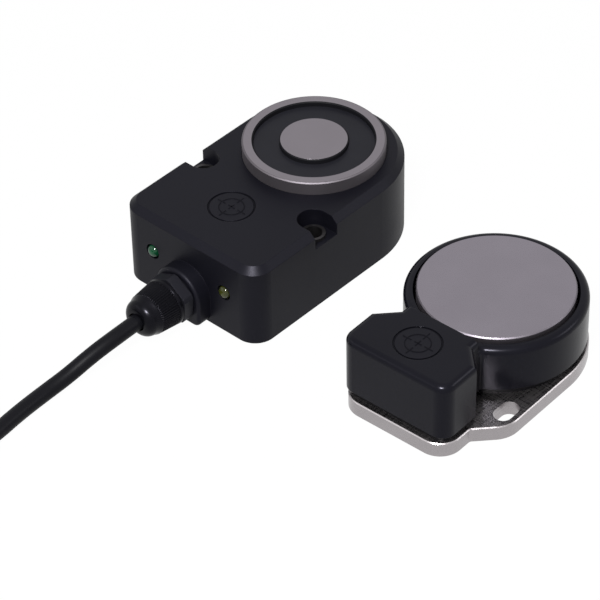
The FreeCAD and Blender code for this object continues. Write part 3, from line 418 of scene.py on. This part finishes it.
def metal(name, colour, dullness, scratch=0.12, mottle=0.1, tumble=0.0):
    """A bright metal with faint crossed scratches, and pitted as much as it was tumbled."""
    finish = Finish(name, Metallic=1.0)
    parts = finish.sheet.add("ShaderNodeSeparateXYZ", None, {0: finish.place})
    runs = []
    for along, across in (("X", "Y"), ("Y", "X")):
        stretched = finish.sheet.add("ShaderNodeCombineXYZ", None, {
            0: parts.part(along) * 60, 1: parts.part(across) * 1800, 2: parts.part("Z") * 1800})
        runs.append(finish.noise(1.0, 2, 0.5, stretched))
    pits = finish.noise(1500, 2, 0.6)
    cloud = finish.noise(90, 3) * (1 - tumble) + pits * tumble
    finish.set("Base Color", finish.blend(cloud, [c * (1 - mottle) for c in colour], colour))
    finish.set("Roughness", dullness + (runs[0] + runs[1] - 1.0) * scratch)
    finish.bump((runs[0] + runs[1]) * 0.5 + pits * (tumble * 3), 0.2 + tumble, 0.00002)
    return finish.material


plate_steel = metal("tumbled_stainless", (0.403, 0.378, 0.387), 0.3, scratch=0.25, mottle=0.3,
                    tumble=0.45)
# Painted shade: the bushes stand deep in their recesses, so their steel is painted very dark.
bush_steel_painted_dark = metal("bush_steel_painted_dark", (0.059, 0.056, 0.059), 0.42)
screw_steel = metal("screw_steel", (0.50, 0.49, 0.50), 0.28)
spring_steel = metal("spring_steel", (0.36, 0.35, 0.37), 0.32)
tinned = metal("tinned_copper", (0.66, 0.65, 0.64), 0.3)

# %% [markdown]
# The well of the magnet is filled with dark resin. It is poured, so it is level and smooth, but a
# cast surface is never a mirror: slow waves bend the light. The cable's sheath is soft plastic with
# a matt bloom, and the rubber seals are duller still.

# %% Resin, sheath and rubber


def cast_resin(name, colour):
    """A poured resin: level and glossy, with slow waves."""
    finish = Finish(name, Coat_Weight=0.02, Coat_Roughness=0.2, Specular_IOR_Level=0.06)
    waves = finish.noise(130, 2)
    dust = finish.noise(2200, 2)
    finish.set("Base Color", finish.blend(waves, colour, [c * 1.35 for c in colour]))
    finish.set("Roughness", 0.36 + (waves - 0.5) * 0.2 + (dust - 0.5) * 0.06)
    finish.bump(waves + dust * 0.05, 0.25, 0.0001)
    return finish.material


def soft_plastic(name, colour, dullness, grain=1400, depth=0.00006, shine=0.4):
    """A flexible plastic or a rubber: even colour, a bloom that dulls it here and there."""
    finish = Finish(name, Specular_IOR_Level=shine)
    bloom = finish.noise(70, 4, 0.6)
    fine = finish.noise(grain, 2)
    finish.set("Base Color", finish.blend(bloom, colour, [c * 1.3 for c in colour]))
    finish.set("Roughness", dullness + (bloom - 0.5) * 0.14)
    finish.bump(fine, 0.3, depth)
    return finish.material


potting = cast_resin("potting_resin", (0.007, 0.007, 0.009))
sheath = soft_plastic("cable_sheath", (0.002, 0.002, 0.0028), 0.4, shine=0.08)
rubber = soft_plastic("black_rubber", (0.002, 0.002, 0.003), 0.45, grain=900, depth=0.00005, shine=0.1)
band_plastic = soft_plastic("band_nylon", (0.016, 0.016, 0.018), 0.38)
print("materials so far:", len(bpy.data.materials))

# %% [markdown]
# The two lamps are clear coloured domes. The green one is lit dimly and the yellow one is off. A lit
# dome is brighter in its middle, over the chip, so its glow is drawn from the distance to the lamp's
# own axis. The yellow one, though off, is given a faint painted glow the same way, and the colour of
# both is painted lighter in the middle and darker towards the rim, as painted light and shade. Light
# passes through the plastic of both, which a weight of transmission gives.

# %% Lamp domes
LAMP_X, LAMP_Z = 0.0172, 0.0175
DOME_RADIUS = 0.0025


def lamp_dome(name, colour, glow, x):
    """A coloured dome whose glow fades from its own axis outwards, and whose colour is painted darker
    towards its rim as painted shade.
    """
    finish = Finish(name, Roughness=0.12, IOR=1.5, Specular_IOR_Level=0.2, Coat_Weight=0.12,
                    Coat_Roughness=0.05, Transmission_Weight=0.22, Emission_Strength=glow)
    parts = finish.sheet.add("ShaderNodeSeparateXYZ", None, {0: finish.place})
    east, high = parts.part("X") - x, parts.part("Z") - LAMP_Z
    off_axis = (east * east + high * high) ** 0.5 * (1 / DOME_RADIUS)
    # Painted light and shade: the colour is lighter over the axis and darker towards the rim.
    finish.set("Base Color", finish.blend(off_axis, colour, [c * 0.45 for c in colour]))
    finish.set("Emission Color", finish.blend(off_axis, colour, [0, 0, 0]))
    return finish.material


green_dome = lamp_dome("green_dome", (0.003, 0.052, 0.02), 0.14, -LAMP_X)
# The yellow lamp is off, so its faint glow is painted light.
yellow_dome = lamp_dome("yellow_dome", (0.03, 0.034, 0.005), 0.02, LAMP_X)

# %% [markdown]
# Inside are a circuit board, a coil on its bobbin, a ferrite aerial and the tag that it reads. They
# are out of sight in use, but each has its finish too: the board's green mask with its tracks, the
# layers of a winding, the grey grain of ferrite.

# %% Inner finishes


TRACK_SCALE, TRACK_EDGE = 420.0, 0.42
WIRE_PITCH = 0.0005


def solder_mask(name):
    """Green mask over square-cornered copper tracks."""
    finish = Finish(name, Roughness=0.3, Coat_Weight=0.3, Coat_Roughness=0.1)
    cells = finish.sheet.add("ShaderNodeTexVoronoi", {"distance": "CHEBYCHEV"}, {
        "Vector": finish.place, "Scale": TRACK_SCALE}).part("Distance")
    tracks = cells.greater(TRACK_EDGE)
    finish.set("Base Color", finish.blend(tracks, (0.006, 0.075, 0.03), (0.012, 0.13, 0.05)))
    finish.bump(tracks, 0.2, 0.00003)
    return finish.material


def wound_wire(name, colour):
    """Layers of round wire, seen as fine level rings, with painted shade between the turns."""
    finish = Finish(name, Metallic=0.85)
    parts = finish.sheet.add("ShaderNodeSeparateXYZ", None, {0: finish.place})
    turns = (parts.part("Z") * (2 * math.pi / WIRE_PITCH)).sine() * 0.5 + 0.5
    # Painted shade: the colour is darker between the turns of wire.
    finish.set("Base Color", finish.blend(turns, [c * 0.45 for c in colour], colour))
    finish.set("Roughness", 0.28 + turns * 0.1)
    finish.bump(turns, 0.5, 0.0001)
    return finish.material


board_green = solder_mask("solder_mask")
winding = wound_wire("winding_wire", (0.62, 0.24, 0.10))
ferrite = soft_plastic("ferrite", (0.035, 0.035, 0.038), 0.55, grain=2500, depth=0.00004)
bobbin_plastic = soft_plastic("bobbin_nylon", (0.42, 0.40, 0.33), 0.5)
component_black = soft_plastic("component_moulding", (0.02, 0.02, 0.022), 0.45)
terminal_plastic = soft_plastic("terminal_green", (0.03, 0.22, 0.08), 0.4)
tag_plastic = soft_plastic("tag_shell", (0.05, 0.05, 0.055), 0.5)
core_plastic = soft_plastic("core_insulation", (0.30, 0.30, 0.30), 0.45)
print("materials with the inner ones:", len(bpy.data.materials))

# %% [markdown]
# Each solid keeps its own mesh and takes a finish in its material slots. The cable with its cores and
# bands, the gland's nut, the springs and the countersunk screws aren't in the list, because pieces
# made further on, or the cable's own mesh, stand for them.

# %% Give each solid its finish
FINISHES = {
    "lock_housing": lock_plastic, "rear_cover": cover_plastic, "cover_gasket": rubber,
    "mounting_sleeves": bush_steel_painted_dark, "magnet_yoke": pole_metal, "coil_bobbin": bobbin_plastic,
    "coil_winding": winding, "coil_leads": core_plastic, "magnet_potting": potting,
    "control_board": board_green, "board_parts": component_black,
    "terminal_block": terminal_plastic, "core_wires": core_plastic, "reader_core": ferrite,
    "reader_coil": winding, "led_green": green_dome, "led_yellow": yellow_dome,
    "led_leads": tinned, "gland_washer": rubber, "gland_body": hex_plastic_painted_lighter,
    "gland_seal": rubber, "gland_claw": gland_plastic,
    "cable_tail": sheath, "actuator_plate": plate_steel, "base_pad": rubber,
    "actuator_housing": actuator_plastic, "transponder": tag_plastic,
    "transponder_potting": potting, "armature_disc": disc_metal,
    "rocker_washer": rubber, "pressure_ring": bush_steel_painted_dark,
    "board_screws": screw_steel, "armature_bolt": screw_steel,
}
for node, material in FINISHES.items():
    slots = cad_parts[node].material_slots
    for slot in slots:
        slot.link = "OBJECT"
        slot.material = material
print("finished solids:", len(FINISHES), "of", len(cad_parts))

# %% [markdown]
# Round things, such as screws and the gland's nut, are lathe work: a short list of radii and heights
# is turned round an axis. Six shallow lobes bend a circle into the star of a screw's socket. Every
# point is in millimetres until the mesh is made.

# %% Turn a profile
SOCKET_LOBES = 6


def lathe(name, rows, segments, closed=False):
    """Turn rows of (radius, height, lobe) round +Z. A radius of 0 is a pole."""
    shape = bmesh.new()
    rings = []
    for radius, height, *lobe in rows:
        depth = lobe[0] if lobe else 0
        ring = []
        for step in range(segments if radius else 1):
            angle = 2 * math.pi * step / segments
            reach = radius * (1 + depth * math.cos(SOCKET_LOBES * angle)) * MM
            ring.append(shape.verts.new((reach * math.cos(angle), reach * math.sin(angle), height * MM)))
        rings.append(ring)
    for low, high in zip(rings, rings[1:] + rings[:1] * closed):
        for step in range(segments):
            after = (step + 1) % segments
            corners = [low[step % len(low)], low[after % len(low)],
                       high[after % len(high)], high[step % len(high)]]
            shape.faces.new(dict.fromkeys(corners))
    return plain_mesh(name, shape)


def plain_mesh(name, shape, sharp=35):
    """Turn the faces outwards, shade them smoothly but for sharp edges, and make the mesh."""
    bmesh.ops.remove_doubles(shape, verts=shape.verts, dist=1e-7)
    bmesh.ops.recalc_face_normals(shape, faces=shape.faces)
    mesh = bpy.data.meshes.new(name)
    shape.to_mesh(mesh)
    shape.free()
    mesh.shade_smooth()
    mesh.set_sharp_from_angle(angle=math.radians(sharp))
    return mesh


def add_block(shape, size, place):
    """A block of that size in millimetres, with its middle at a place."""
    block = bmesh.ops.create_cube(shape, size=1)["verts"]
    bmesh.ops.scale(shape, vec=Vector(size) * MM, verts=block)
    bmesh.ops.translate(shape, vec=Vector(place) * MM, verts=block)
    return block


def add_piece(name, mesh, finish, body, *stands_for):
    """Put a finished mesh in the scene, on the body that carries it."""
    made = show(name, mesh)
    if mesh.materials:
        mesh.materials.clear()
    for each in finish if isinstance(finish, list) else [finish]:
        mesh.materials.append(each)
    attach(made, body)
    if stands_for:
        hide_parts(*stands_for)
    print(name, len(mesh.polygons), "faces")
    return made


# %% [markdown]
# What repeats is made with Geometry Nodes: one part, and a tree that copies it. A tree has named
# inputs, sets copies at points or evenly round an axis, and ends by turning them into real faces with
# a material. The modifier is set by each input's identifier, the result is kept as a plain mesh, and
# the modifier is taken off again.

# %% Copy a part with a tree


def start_tree(name, inputs):
    """A tree with those named inputs, and the wire of its first one, the geometry."""
    tree = bpy.data.node_groups.new(name, "GeometryNodeTree")
    tree.interface.new_socket("Geometry", in_out="OUTPUT", socket_type="NodeSocketGeometry")
    for label, kind in {"Geometry": "Geometry", **inputs}.items():
        tree.interface.new_socket(label, in_out="INPUT", socket_type="NodeSocket" + kind)
    drawn = Sheet(tree)
    return drawn, drawn.add("NodeGroupInput")


def copies_at(drawn, spots, part, turn):
    """Copies of an object at points, each with its own turn about +Z."""
    one = drawn.add("GeometryNodeObjectInfo", None, {"Object": part}).part("Geometry")
    return drawn.add("GeometryNodeInstanceOnPoints", None, {
        "Points": spots, "Instance": one, "Rotation": drawn.add("ShaderNodeCombineXYZ", None, {"Z": turn})})


def copies_round(drawn, part, count, start=0.0):
    """That many copies, set evenly round +Z from the first one's turn."""
    spots = drawn.add("GeometryNodeMeshLine", None, {"Count": count, "Offset": (0, 0, 0)})
    turn = drawn.add("GeometryNodeInputIndex") * (2 * math.pi) / count + start
    return copies_at(drawn, spots, part, turn)


def end_tree(drawn, shape, material):
    """Make the copies real, give them a finish and close the tree."""
    real = drawn.add("GeometryNodeRealizeInstances", None, {0: shape})
    coated = drawn.add("GeometryNodeSetMaterial", None, {"Geometry": real, "Material": material})
    drawn.add("NodeGroupOutput", None, {0: coated})


def grown(name, mesh, drawn, values):
    """What the tree makes of a mesh, as a plain mesh."""
    holder = show(name, mesh)
    modifier = holder.modifiers.new(name, "NODES")
    modifier.node_group = drawn.tree
    for item in drawn.tree.interface.items_tree:
        if item.in_out == "INPUT" and item.name in values:
            modifier[item.identifier] = values[item.name]
    graph = bpy.context.evaluated_depsgraph_get()
    made = bpy.data.meshes.new_from_object(holder.evaluated_get(graph))
    holder.modifiers.clear()
    bpy.data.objects.remove(holder)
    return made


# %% [markdown]
# The gland's nut squeezes the seal round the cable. Its grip has sixty fine ribs for the fingers, and
# its nose is a smooth glossy dome. The ribs are one bar copied round the axis by a tree, on a body
# that is turned. The bar swells from nothing at both ends, so that the ribs run out softly.

# %% The gland's nut
NUT_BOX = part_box("gland_nut")
NUT_BACK = NUT_BOX[1][1] / MM
GLAND_HEIGHT = 11.2
RIBS = 60
RIB_HEIGHT, RIB_WIDTH, RIB_ARC = 0.42, 0.56, 6
GRIP_START, GRIP_END, NUT_LENGTH = 1.2, 9.4, 15.0
NOSE_RADIUS, NOSE_ROUND, NUT_MOUTH = 7.2, 3.6, 3.4
NUT_RADIUS, NUT_NARROWS, TAPER_LENGTH = 9.0, 1.1, 9.8
RIB_ROOT = 0.05


def nut_radius(height):
    """How far the tops of the ribs stand from the axis, on a slow taper towards the nose."""
    return NUT_RADIUS - NUT_NARROWS * height / TAPER_LENGTH


def rib_bar(name):
    """One rib along +Z, at its own radius on +X."""
    shape = bmesh.new()
    rings = []
    for share, swell in ((0, 0.02), (0.04, 0.7), (0.1, 1), (0.9, 1), (0.96, 0.7), (1, 0.02)):
        height = GRIP_START + (GRIP_END - GRIP_START) * share
        foot = nut_radius(height) - RIB_HEIGHT - RIB_ROOT
        ring = []
        for step in range(RIB_ARC + 1):
            angle = math.pi * step / RIB_ARC
            out = foot + (RIB_HEIGHT + RIB_ROOT) * math.sin(angle) * swell
            ring.append(shape.verts.new((out * MM, RIB_WIDTH / 2 * math.cos(angle) * MM, height * MM)))
        rings.append(ring)
    for low, high in zip(rings, rings[1:]):
        for a, b, c, d in zip(low, low[1:], high[1:], high):
            shape.faces.new((a, b, c, d))
        shape.faces.new((low[-1], low[0], high[0], high[-1]))
    shape.faces.new(rings[0])
    shape.faces.new(rings[-1])
    return plain_mesh(name, shape, 60)


nose = [(NOSE_RADIUS - NOSE_ROUND * (1 - math.cos(math.radians(a))),
         NUT_LENGTH - NOSE_ROUND * (1 - math.sin(math.radians(a)))) for a in range(0, 91, 9)]
grip = [(nut_radius(h) - RIB_HEIGHT, h) for h in (GRIP_START + 0.3, 4, 7, GRIP_END - 0.1)]
body_rows = [(6.1, 0), (8.7, 0), (NUT_RADIUS, 0.3), (nut_radius(GRIP_START), GRIP_START)] + grip + [
    (nut_radius(9.6), 9.6), (7.75, 10.1)] + nose + [
    (NUT_MOUTH + 0.2, NUT_LENGTH), (NUT_MOUTH, NUT_LENGTH - 0.2), (NUT_MOUTH, 13.5), (6.1, 10.4)]
nut_body = lathe("nut_body", body_rows, 120, closed=True)
drawn, given = start_tree("ribs_round_an_axis", {"Rib": "Object", "Ribs": "Int", "Finish": "Material"})
ribs = copies_round(drawn, given.part("Rib"), given.part("Ribs"))
joined = drawn.add("GeometryNodeJoinGeometry")
for shape in (ribs, given):
    drawn.plug(shape, joined.socket.node.inputs[0])
end_tree(drawn, joined, given.part("Finish"))
bar = show("nut_rib", rib_bar("nut_rib"))
nut_mesh = grown("nut", nut_body, drawn, {"Rib": bar, "Ribs": RIBS, "Finish": gland_plastic})
bpy.data.objects.remove(bar)
TO_FRONT = Matrix.Rotation(math.radians(90), 4, "X")
nut_mesh.transform(Matrix.Translation(Vector((0, NUT_BACK, GLAND_HEIGHT)) * MM) @ TO_FRONT)
add_piece("ribbed_nut", nut_mesh, gland_plastic, "gland_nut", "gland_nut")

# %% [markdown]
# Countersunk screws hold the cover, the magnet and the actuator's housing from below. One screw is
# turned with a lobed socket, and a tree sets a copy at each point of a small mesh. A seed turns each
# socket its own way, because nobody lines screws up, and the same seed gives the same turns each time.

# %% Screws
THREAD_PITCH, THREAD_ROOT = 0.7, 0.86


def flat_screw(name, shank, head, length):
    """A countersunk screw that stands on its head."""
    socket = head * 0.5
    rows = [(0, head * 0.42), (socket * 0.6, head * 0.4, 0.13), (socket, head * 0.36, 0.13),
            (socket, 0.12, 0.13), (socket * 1.08, 0, 0.12), (head - 0.12, 0), (head, 0.12),
            (shank, head - shank)]
    threads = int((length - head + shank - 0.8) / THREAD_PITCH)
    for step in range(threads):
        height = head - shank + 0.3 + step * THREAD_PITCH
        rows += [(shank * THREAD_ROOT, height), (shank, height + THREAD_PITCH / 2)]
    rows += [(shank * THREAD_ROOT, length - 0.3), (shank * 0.6, length), (0, length)]
    return lathe(name, rows, 48)


screw_tree, given = start_tree("screws_at_points", {"Screw": "Object", "Seed": "Int",
                                                    "Finish": "Material"})
turn = screw_tree.add("FunctionNodeRandomValue", {"data_type": "FLOAT"}, {
    2: 0.0, 3: 6.283, "Seed": given.part("Seed")})
screws = copies_at(screw_tree, given, given.part("Screw"), turn)
end_tree(screw_tree, screws, given.part("Finish"))


def screws_at(name, spots, size, seed, body, *stands_for):
    """Copies of one screw of that shank, head and length, heads down, at points in millimetres."""
    points = bpy.data.meshes.new(name + "_points")
    points.from_pydata([Vector(spot) * MM for spot in spots], [], [])
    part = show(name + "_one", flat_screw(name + "_one", *size))
    mesh = grown(name, points, screw_tree, {"Screw": part, "Seed": seed, "Finish": screw_steel})
    bpy.data.objects.remove(part)
    return add_piece(name, mesh, screw_steel, body, *stands_for)


ACTUATOR_TURN = 2.1
ACTUATOR = Matrix.Translation((*ACTUATOR_PLACE, 0)) @ Matrix.Rotation(math.radians(ACTUATOR_TURN), 4, "Z")
screws_at("cover_fixings", [(24, -58.5, 0), (-24, -58.5, 0), (26.5, -17, 0), (-26.5, -17, 0)],
          (1.5, 3.0, 11.0), 3, "lock_unit", "cover_screws")
screws_at("magnet_fixing", [(0, 0, 0)], (3.0, 6.0, 14.0), 5, "lock_unit", "magnet_screw")
screws_at("front_housing_fixings", [ACTUATOR @ Vector((x, -50, 0)) for x in (15.5, -15.5)],
          (2.0, 4.0, 13.5), 7, "actuator", "housing_screws")
screws_at("rear_housing_fixings", [ACTUATOR @ Vector((x, 15, 0)) for x in (15, -15)],
          (2.0, 4.0, 10.5), 9, "actuator")

# %% [markdown]
# Round the disc's bolt lie four conical spring washers, edge to edge. They give as the disc is
# pressed in, and the stack flattens towards its seat while the disc sinks; here it is made at rest.

# %% Springs under the disc
SPRING_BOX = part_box("cup_springs")
SPRING_SEAT = SPRING_BOX[0][2] / MM
SPRINGS, SPRING_STEP, SPRING_PLAY, SPRING_THICK = 4, 1.775, 0.05, 0.7
SPRING_BORE, SPRING_EDGE, SPRING_TRAVEL = 9.4, 14.0, 0.8

stack = bmesh.new()
for place in range(SPRINGS):
    near, far = (SPRING_EDGE, SPRING_BORE) if place % 2 else (SPRING_BORE, SPRING_EDGE)
    foot = SPRING_SEAT + SPRING_STEP * place
    top = foot + SPRING_STEP - SPRING_PLAY
    stack.from_mesh(lathe("one_washer", [(near, foot), (near, foot + SPRING_THICK), (far, top),
                                         (far, top - SPRING_THICK)], 96, closed=True))
stack_mesh = plain_mesh("springs", stack)
stack_mesh.transform(Matrix.Translation(ACTUATOR.translation * MM))
springs = add_piece("spring_stack", stack_mesh, spring_steel, "actuator", "cup_springs")
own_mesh(springs)

# %% [markdown]
# The coil is held by three nylon bands. A band is a flat strip bent round the bundle, with a small
# locking head and the cut end of the strip standing out of it. A tree copies it three times round
# the coil's axis, as it copied the ribs.

# %% Bands round the coil
BAND_WIDTH, BAND_THICK = 5.0, 1.0
BAND_OUTLINE = [(-0.5, 0.2), (-0.46, 0), (0.46, 0), (0.5, 0.2), (0.5, 0.8), (0.42, 1), (-0.42, 1),
                (-0.5, 0.8)]
LOCKING_HEAD, CUT_END = (6.0, 6.6, 3.6), (4.5, 4.4, 0.9)
BANDS, FIRST_BAND, BAND_STEPS = 3, 112, 64


def band(name):
    """A strip bent round the bundle, at the coil's radius on +X, with its locking head."""
    shape = bmesh.new()
    rings = []
    for step in range(BAND_STEPS):
        angle = 2 * math.pi * step / BAND_STEPS
        outward = Vector((math.cos(angle), 0, math.sin(angle)))
        ring = []
        for along, rise in BAND_OUTLINE:
            out = BUNDLE_RADIUS + rise * BAND_THICK
            spot = Vector((COIL_RADIUS, along * BAND_WIDTH, 0)) + outward * out
            ring.append(shape.verts.new(spot * MM))
        rings.append(ring)
    for low, high in zip(rings, rings[1:] + rings[:1]):
        for step in range(len(BAND_OUTLINE)):
            shape.faces.new((low[step], low[step - 1], high[step - 1], high[step]))
    blocks = add_block(shape, LOCKING_HEAD, (COIL_RADIUS - 2, 0, BUNDLE_RADIUS + 1.7))
    blocks += add_block(shape, CUT_END, (COIL_RADIUS + 2.6, 0, BUNDLE_RADIUS + 2.2))
    corners = [e for e in shape.edges if e.verts[0] in blocks]
    bmesh.ops.bevel(shape, geom=corners, offset=0.4 * MM, segments=3, affect="EDGES")
    return plain_mesh(name, shape, 40)


drawn, given = start_tree("bands_round_a_coil", {"Band": "Object", "Bands": "Int", "Start": "Float",
                                                 "Finish": "Material"})
bands = copies_round(drawn, given.part("Band"), given.part("Bands"), given.part("Start"))
end_tree(drawn, bands, given.part("Finish"))
one_band = show("band", band("band"))
band_mesh = grown("bands", bpy.data.meshes.new("start"), drawn, {
    "Band": one_band, "Bands": BANDS, "Start": math.radians(FIRST_BAND), "Finish": band_plastic})
bpy.data.objects.remove(one_band)
band_mesh.transform(Matrix.Translation(COIL * MM))
bands = add_piece("coil_bands", band_mesh, band_plastic, "lock_unit", "coil_ties")

# %% [markdown]
# The free end is ready to wire: the sheath is cut square, and eight coloured cores fan out on the
# table, each with a crimped ferrule. Every core is a NURBS line made into a tube, and the tubes are
# joined into one piece with one material for each colour.

# %% Cores of the free end
CORE_COLOURS = {"white": (0.62, 0.62, 0.60), "brown": (0.09, 0.035, 0.015), "green": (0.02, 0.20, 0.05),
                "yellow": (0.60, 0.45, 0.03), "grey": (0.16, 0.16, 0.17), "pink": (0.62, 0.22, 0.27),
                "blue": (0.02, 0.07, 0.33), "red": (0.42, 0.02, 0.02)}
core_finishes = [soft_plastic("core_" + name, colour, 0.35) for name, colour in CORE_COLOURS.items()]
CORES = len(CORE_COLOURS)
CORE_RADIUS, CRIMP_RADIUS, PIN_RADIUS = 0.6, 0.75, 0.42
CORE_STEP, FAN_LENGTH = 1.9, 16.5
AROUND_CORES = [2 * math.pi * (number + 0.5) / CORES for number in range(CORES)]
LEFT_TO_RIGHT = sorted(range(CORES), key=lambda number: math.cos(AROUND_CORES[number]))
joined = bmesh.new()
for number, angle in enumerate(AROUND_CORES):
    start = SHEATH_END + Vector((math.cos(angle), -0.8, math.sin(angle))) * CORE_STEP
    aside = LEFT_TO_RIGHT.index(number) - (CORES - 1) / 2
    tip = SHEATH_END + Vector((aside * CORE_STEP, FAN_LENGTH, 0))
    tip.z = CRIMP_RADIUS
    spread = start.lerp(tip, 0.5)
    spread.z = start.z * 0.7 + 0.2
    ahead = Vector((tip.x - spread.x, tip.y - spread.y, 0)).normalized()
    core = [start, start + Vector((0, 3, 0)), spread, tip - ahead * 3, tip]
    crimp = [tip - ahead * 1.2, tip, tip + ahead * 1.4]
    pin = [tip + ahead * 1.4, tip + ahead * 4, tip + ahead * 6.5]
    for points, radius, slot in ((core, CORE_RADIUS, number), (crimp, CRIMP_RADIUS, number),
                                 (pin, PIN_RADIUS, CORES)):
        joined.from_mesh(tube_mesh(points, radius, slot))
cores = add_piece("free_cores", plain_mesh("free_cores", joined, 50), core_finishes + [tinned],
                  "lock_unit", "cable_cores")

cable.data.materials.append(sheath)

# %% [markdown]
# Both units carry a sighting mark over the reader and over the tag, so that they can be mounted face
# to face. It is a plain ring with four ticks and a small cross on a low round plinth, drawn in black.
# The plinth stands in a round recess, almost as high as the face about it, and a gap runs round it,
# with a flat black ring in its bottom as painted shade. So a few bars and a few turned shapes are all
# it takes.

# %% Sighting marks
PLINTH, PLINTH_RADIUS = 0.5, 7.8
LINE, RING_RADIUS, TICK_PLACE, TICK_LENGTH, CROSS = 0.4, 4.3, 4.6, 3.6, 3.0
BAR_DEPTH, RING_HEIGHT = 0.3, 0.14
GAP_INNER, GAP_OUTER, GAP_TOP, FOOT = 7.85, 8.58, 0.04, -0.1


def sighting_mark(name):
    """A low round plinth with a ring, four ticks and a cross on it, standing on z = 0."""
    shape = bmesh.new()
    bars = [(0, r, LINE, TICK_LENGTH) for r in (TICK_PLACE, -TICK_PLACE)]
    bars += [(r, 0, TICK_LENGTH, LINE) for r in (TICK_PLACE, -TICK_PLACE)]
    for x, y, wide, deep in bars + [(0, 0, LINE, CROSS), (0, 0, CROSS, LINE)]:
        add_block(shape, (wide, deep, BAR_DEPTH), (x, y, PLINTH))
    edge, top = RING_RADIUS + LINE, PLINTH + RING_HEIGHT
    ring = [(RING_RADIUS, PLINTH), (RING_RADIUS, top), (edge, top), (edge, PLINTH)]
    shape.from_mesh(lathe("ring", ring, 72))
    # A flat black ring in the bottom of the gap is painted shade.
    gap = [(GAP_INNER, FOOT), (GAP_INNER, GAP_TOP), (GAP_OUTER, GAP_TOP), (GAP_OUTER, FOOT)]
    shape.from_mesh(lathe("gap", gap, 72, closed=True))
    # The ring, ticks, cross and the gap's ring take the second finish, the black.
    for face in shape.faces:
        face.material_index = 1
    plinth = [(0, FOOT), (PLINTH_RADIUS, FOOT), (PLINTH_RADIUS, PLINTH), (0, PLINTH)]
    shape.from_mesh(lathe("plinth", plinth, 72))
    return plain_mesh(name, shape, 40)


RECESS_DEPTH = 0.6
MARK_PLACE = -43.4
LOCK_TOP, TAG_TOP = 33.0, 31.1
lock_mark = sighting_mark("lock_mark")
lock_mark.transform(Matrix.Translation(Vector((0, MARK_PLACE, LOCK_TOP - RECESS_DEPTH)) * MM))
add_piece("lock_sighting_mark", lock_mark, [lock_plastic, painted_gap_shade_and_mark_lines], "lock_unit")
tag_mark = sighting_mark("tag_mark")
place = ACTUATOR @ Matrix.Translation((0, MARK_PLACE, TAG_TOP - RECESS_DEPTH))
tag_mark.transform(Matrix.Translation(place.translation * MM) @ place.to_3x3().to_4x4())
add_piece("tag_sighting_mark", tag_mark, [mark_plastic, painted_gap_shade_and_mark_lines], "actuator")

# %% [markdown]
# The studio is a white table in a white room. The table answers the camera with white, so that its
# far edge can't be seen, and still takes a soft shadow. Metal and glass see the same white, but the
# light that falls on the object is kept lower, so that colours come out as they are written.

# %% Build the table and the room
ROOM_LIGHT = 0.36
PAPER, TABLE_WHITE = 0.5, 0.985
TABLE_SIZE, TABLE_DROP = 6.0, 0.0002


def seen_rays(sheet):
    """1 for the rays that show the background: the camera's, a mirror's and those through glass."""
    ray = sheet.add("ShaderNodeLightPath")
    direct = ray.math("MAXIMUM", ray.part("Is Camera Ray"), ray.part("Is Glossy Ray"))
    return direct.math("MAXIMUM", direct, ray.part("Is Transmission Ray"))


def white_room(strength):
    """A room that is seen white, and lights the object by that strength."""
    world = bpy.data.worlds.new("Room")
    bpy.context.scene.world = world
    world.use_nodes = True
    room = Sheet(world.node_tree)
    world.node_tree.nodes.clear()
    seen = seen_rays(room)
    walls = room.add("ShaderNodeBackground", None, {"Color": (0.97, 0.97, 1.0), "Strength": strength})
    white = room.add("ShaderNodeBackground", None, {"Color": (1, 1, 1), "Strength": 1.0})
    mixed = room.add("ShaderNodeMixShader", None, {0: seen, 1: walls, 2: white})
    room.add("ShaderNodeOutputWorld", None, {"Surface": mixed})


def table_top(size):
    """A square table that is seen white, and takes shadows as paper does."""
    mesh = bpy.data.meshes.new("Table")
    corners = [(-size, -size, 0), (size, -size, 0), (size, size, 0), (-size, size, 0)]
    mesh.from_pydata([Vector(c) for c in corners], [], [(0, 1, 2, 3)])
    table = show("Table", mesh)
    table.location.z = -TABLE_DROP
    material = bpy.data.materials.new("white_table")
    material.use_nodes = True
    tree = Sheet(material.node_tree)
    material.node_tree.nodes.clear()
    paper = tree.add("ShaderNodeBsdfDiffuse", None, {"Color": (PAPER, PAPER, PAPER)})
    glow = tree.add("ShaderNodeEmission", None, {"Color": (1, 1, 1), "Strength": 1.0})
    shown = seen_rays(tree) * TABLE_WHITE
    mixed = tree.add("ShaderNodeMixShader", None, {0: shown, 1: paper, 2: glow})
    tree.add("ShaderNodeOutputMaterial", None, {"Surface": mixed})
    mesh.materials.append(material)
    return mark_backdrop(table)


white_room(ROOM_LIGHT)
table_top(TABLE_SIZE)
print("room light", ROOM_LIGHT, "and a table", 2 * TABLE_SIZE, "m wide")

# %% [markdown]
# Black plastic is seen by what it mirrors, not by what it scatters. The white room gives the tops and
# walls their grey. A small strong key box beside the camera draws the glints along rounded edges, two
# weak boxes soften it from the front and from behind, and one overhead keeps the shadows short.

# %% Hang the soft boxes


def soft_box(name, place, target, size, power):
    """A rectangular white light at a place, facing a target, of that many watts."""
    light = bpy.data.lights.new(name, "AREA")
    light.shape = "RECTANGLE"
    light.size, light.size_y = size
    light.energy = power
    aim = Vector(target) - Vector(place)
    facing = aim.to_track_quat("-Z", "Y").to_matrix().to_4x4()
    show(name, light).matrix_world = Matrix.Translation(place) @ facing
    print(name, power, "W")


soft_box("Overhead", (0.0, 0.0, 1.2), (0.03, -0.03, 0.0), (0.7, 0.7), 0.6)
soft_box("Front strip", (-0.62, -0.78, 0.66), (0.0, -0.05, 0.02), (0.7, 0.3), 0.8)
soft_box("Key", (0.34, -0.57, 0.79), (0.03, -0.03, 0.0), (0.2, 0.2), 23.0)
soft_box("Back strip", (0.84, 0.73, 0.68), (0.05, -0.03, 0.02), (0.5, 0.35), 2.2)

# %% Update the scene
bpy.context.view_layer.update()
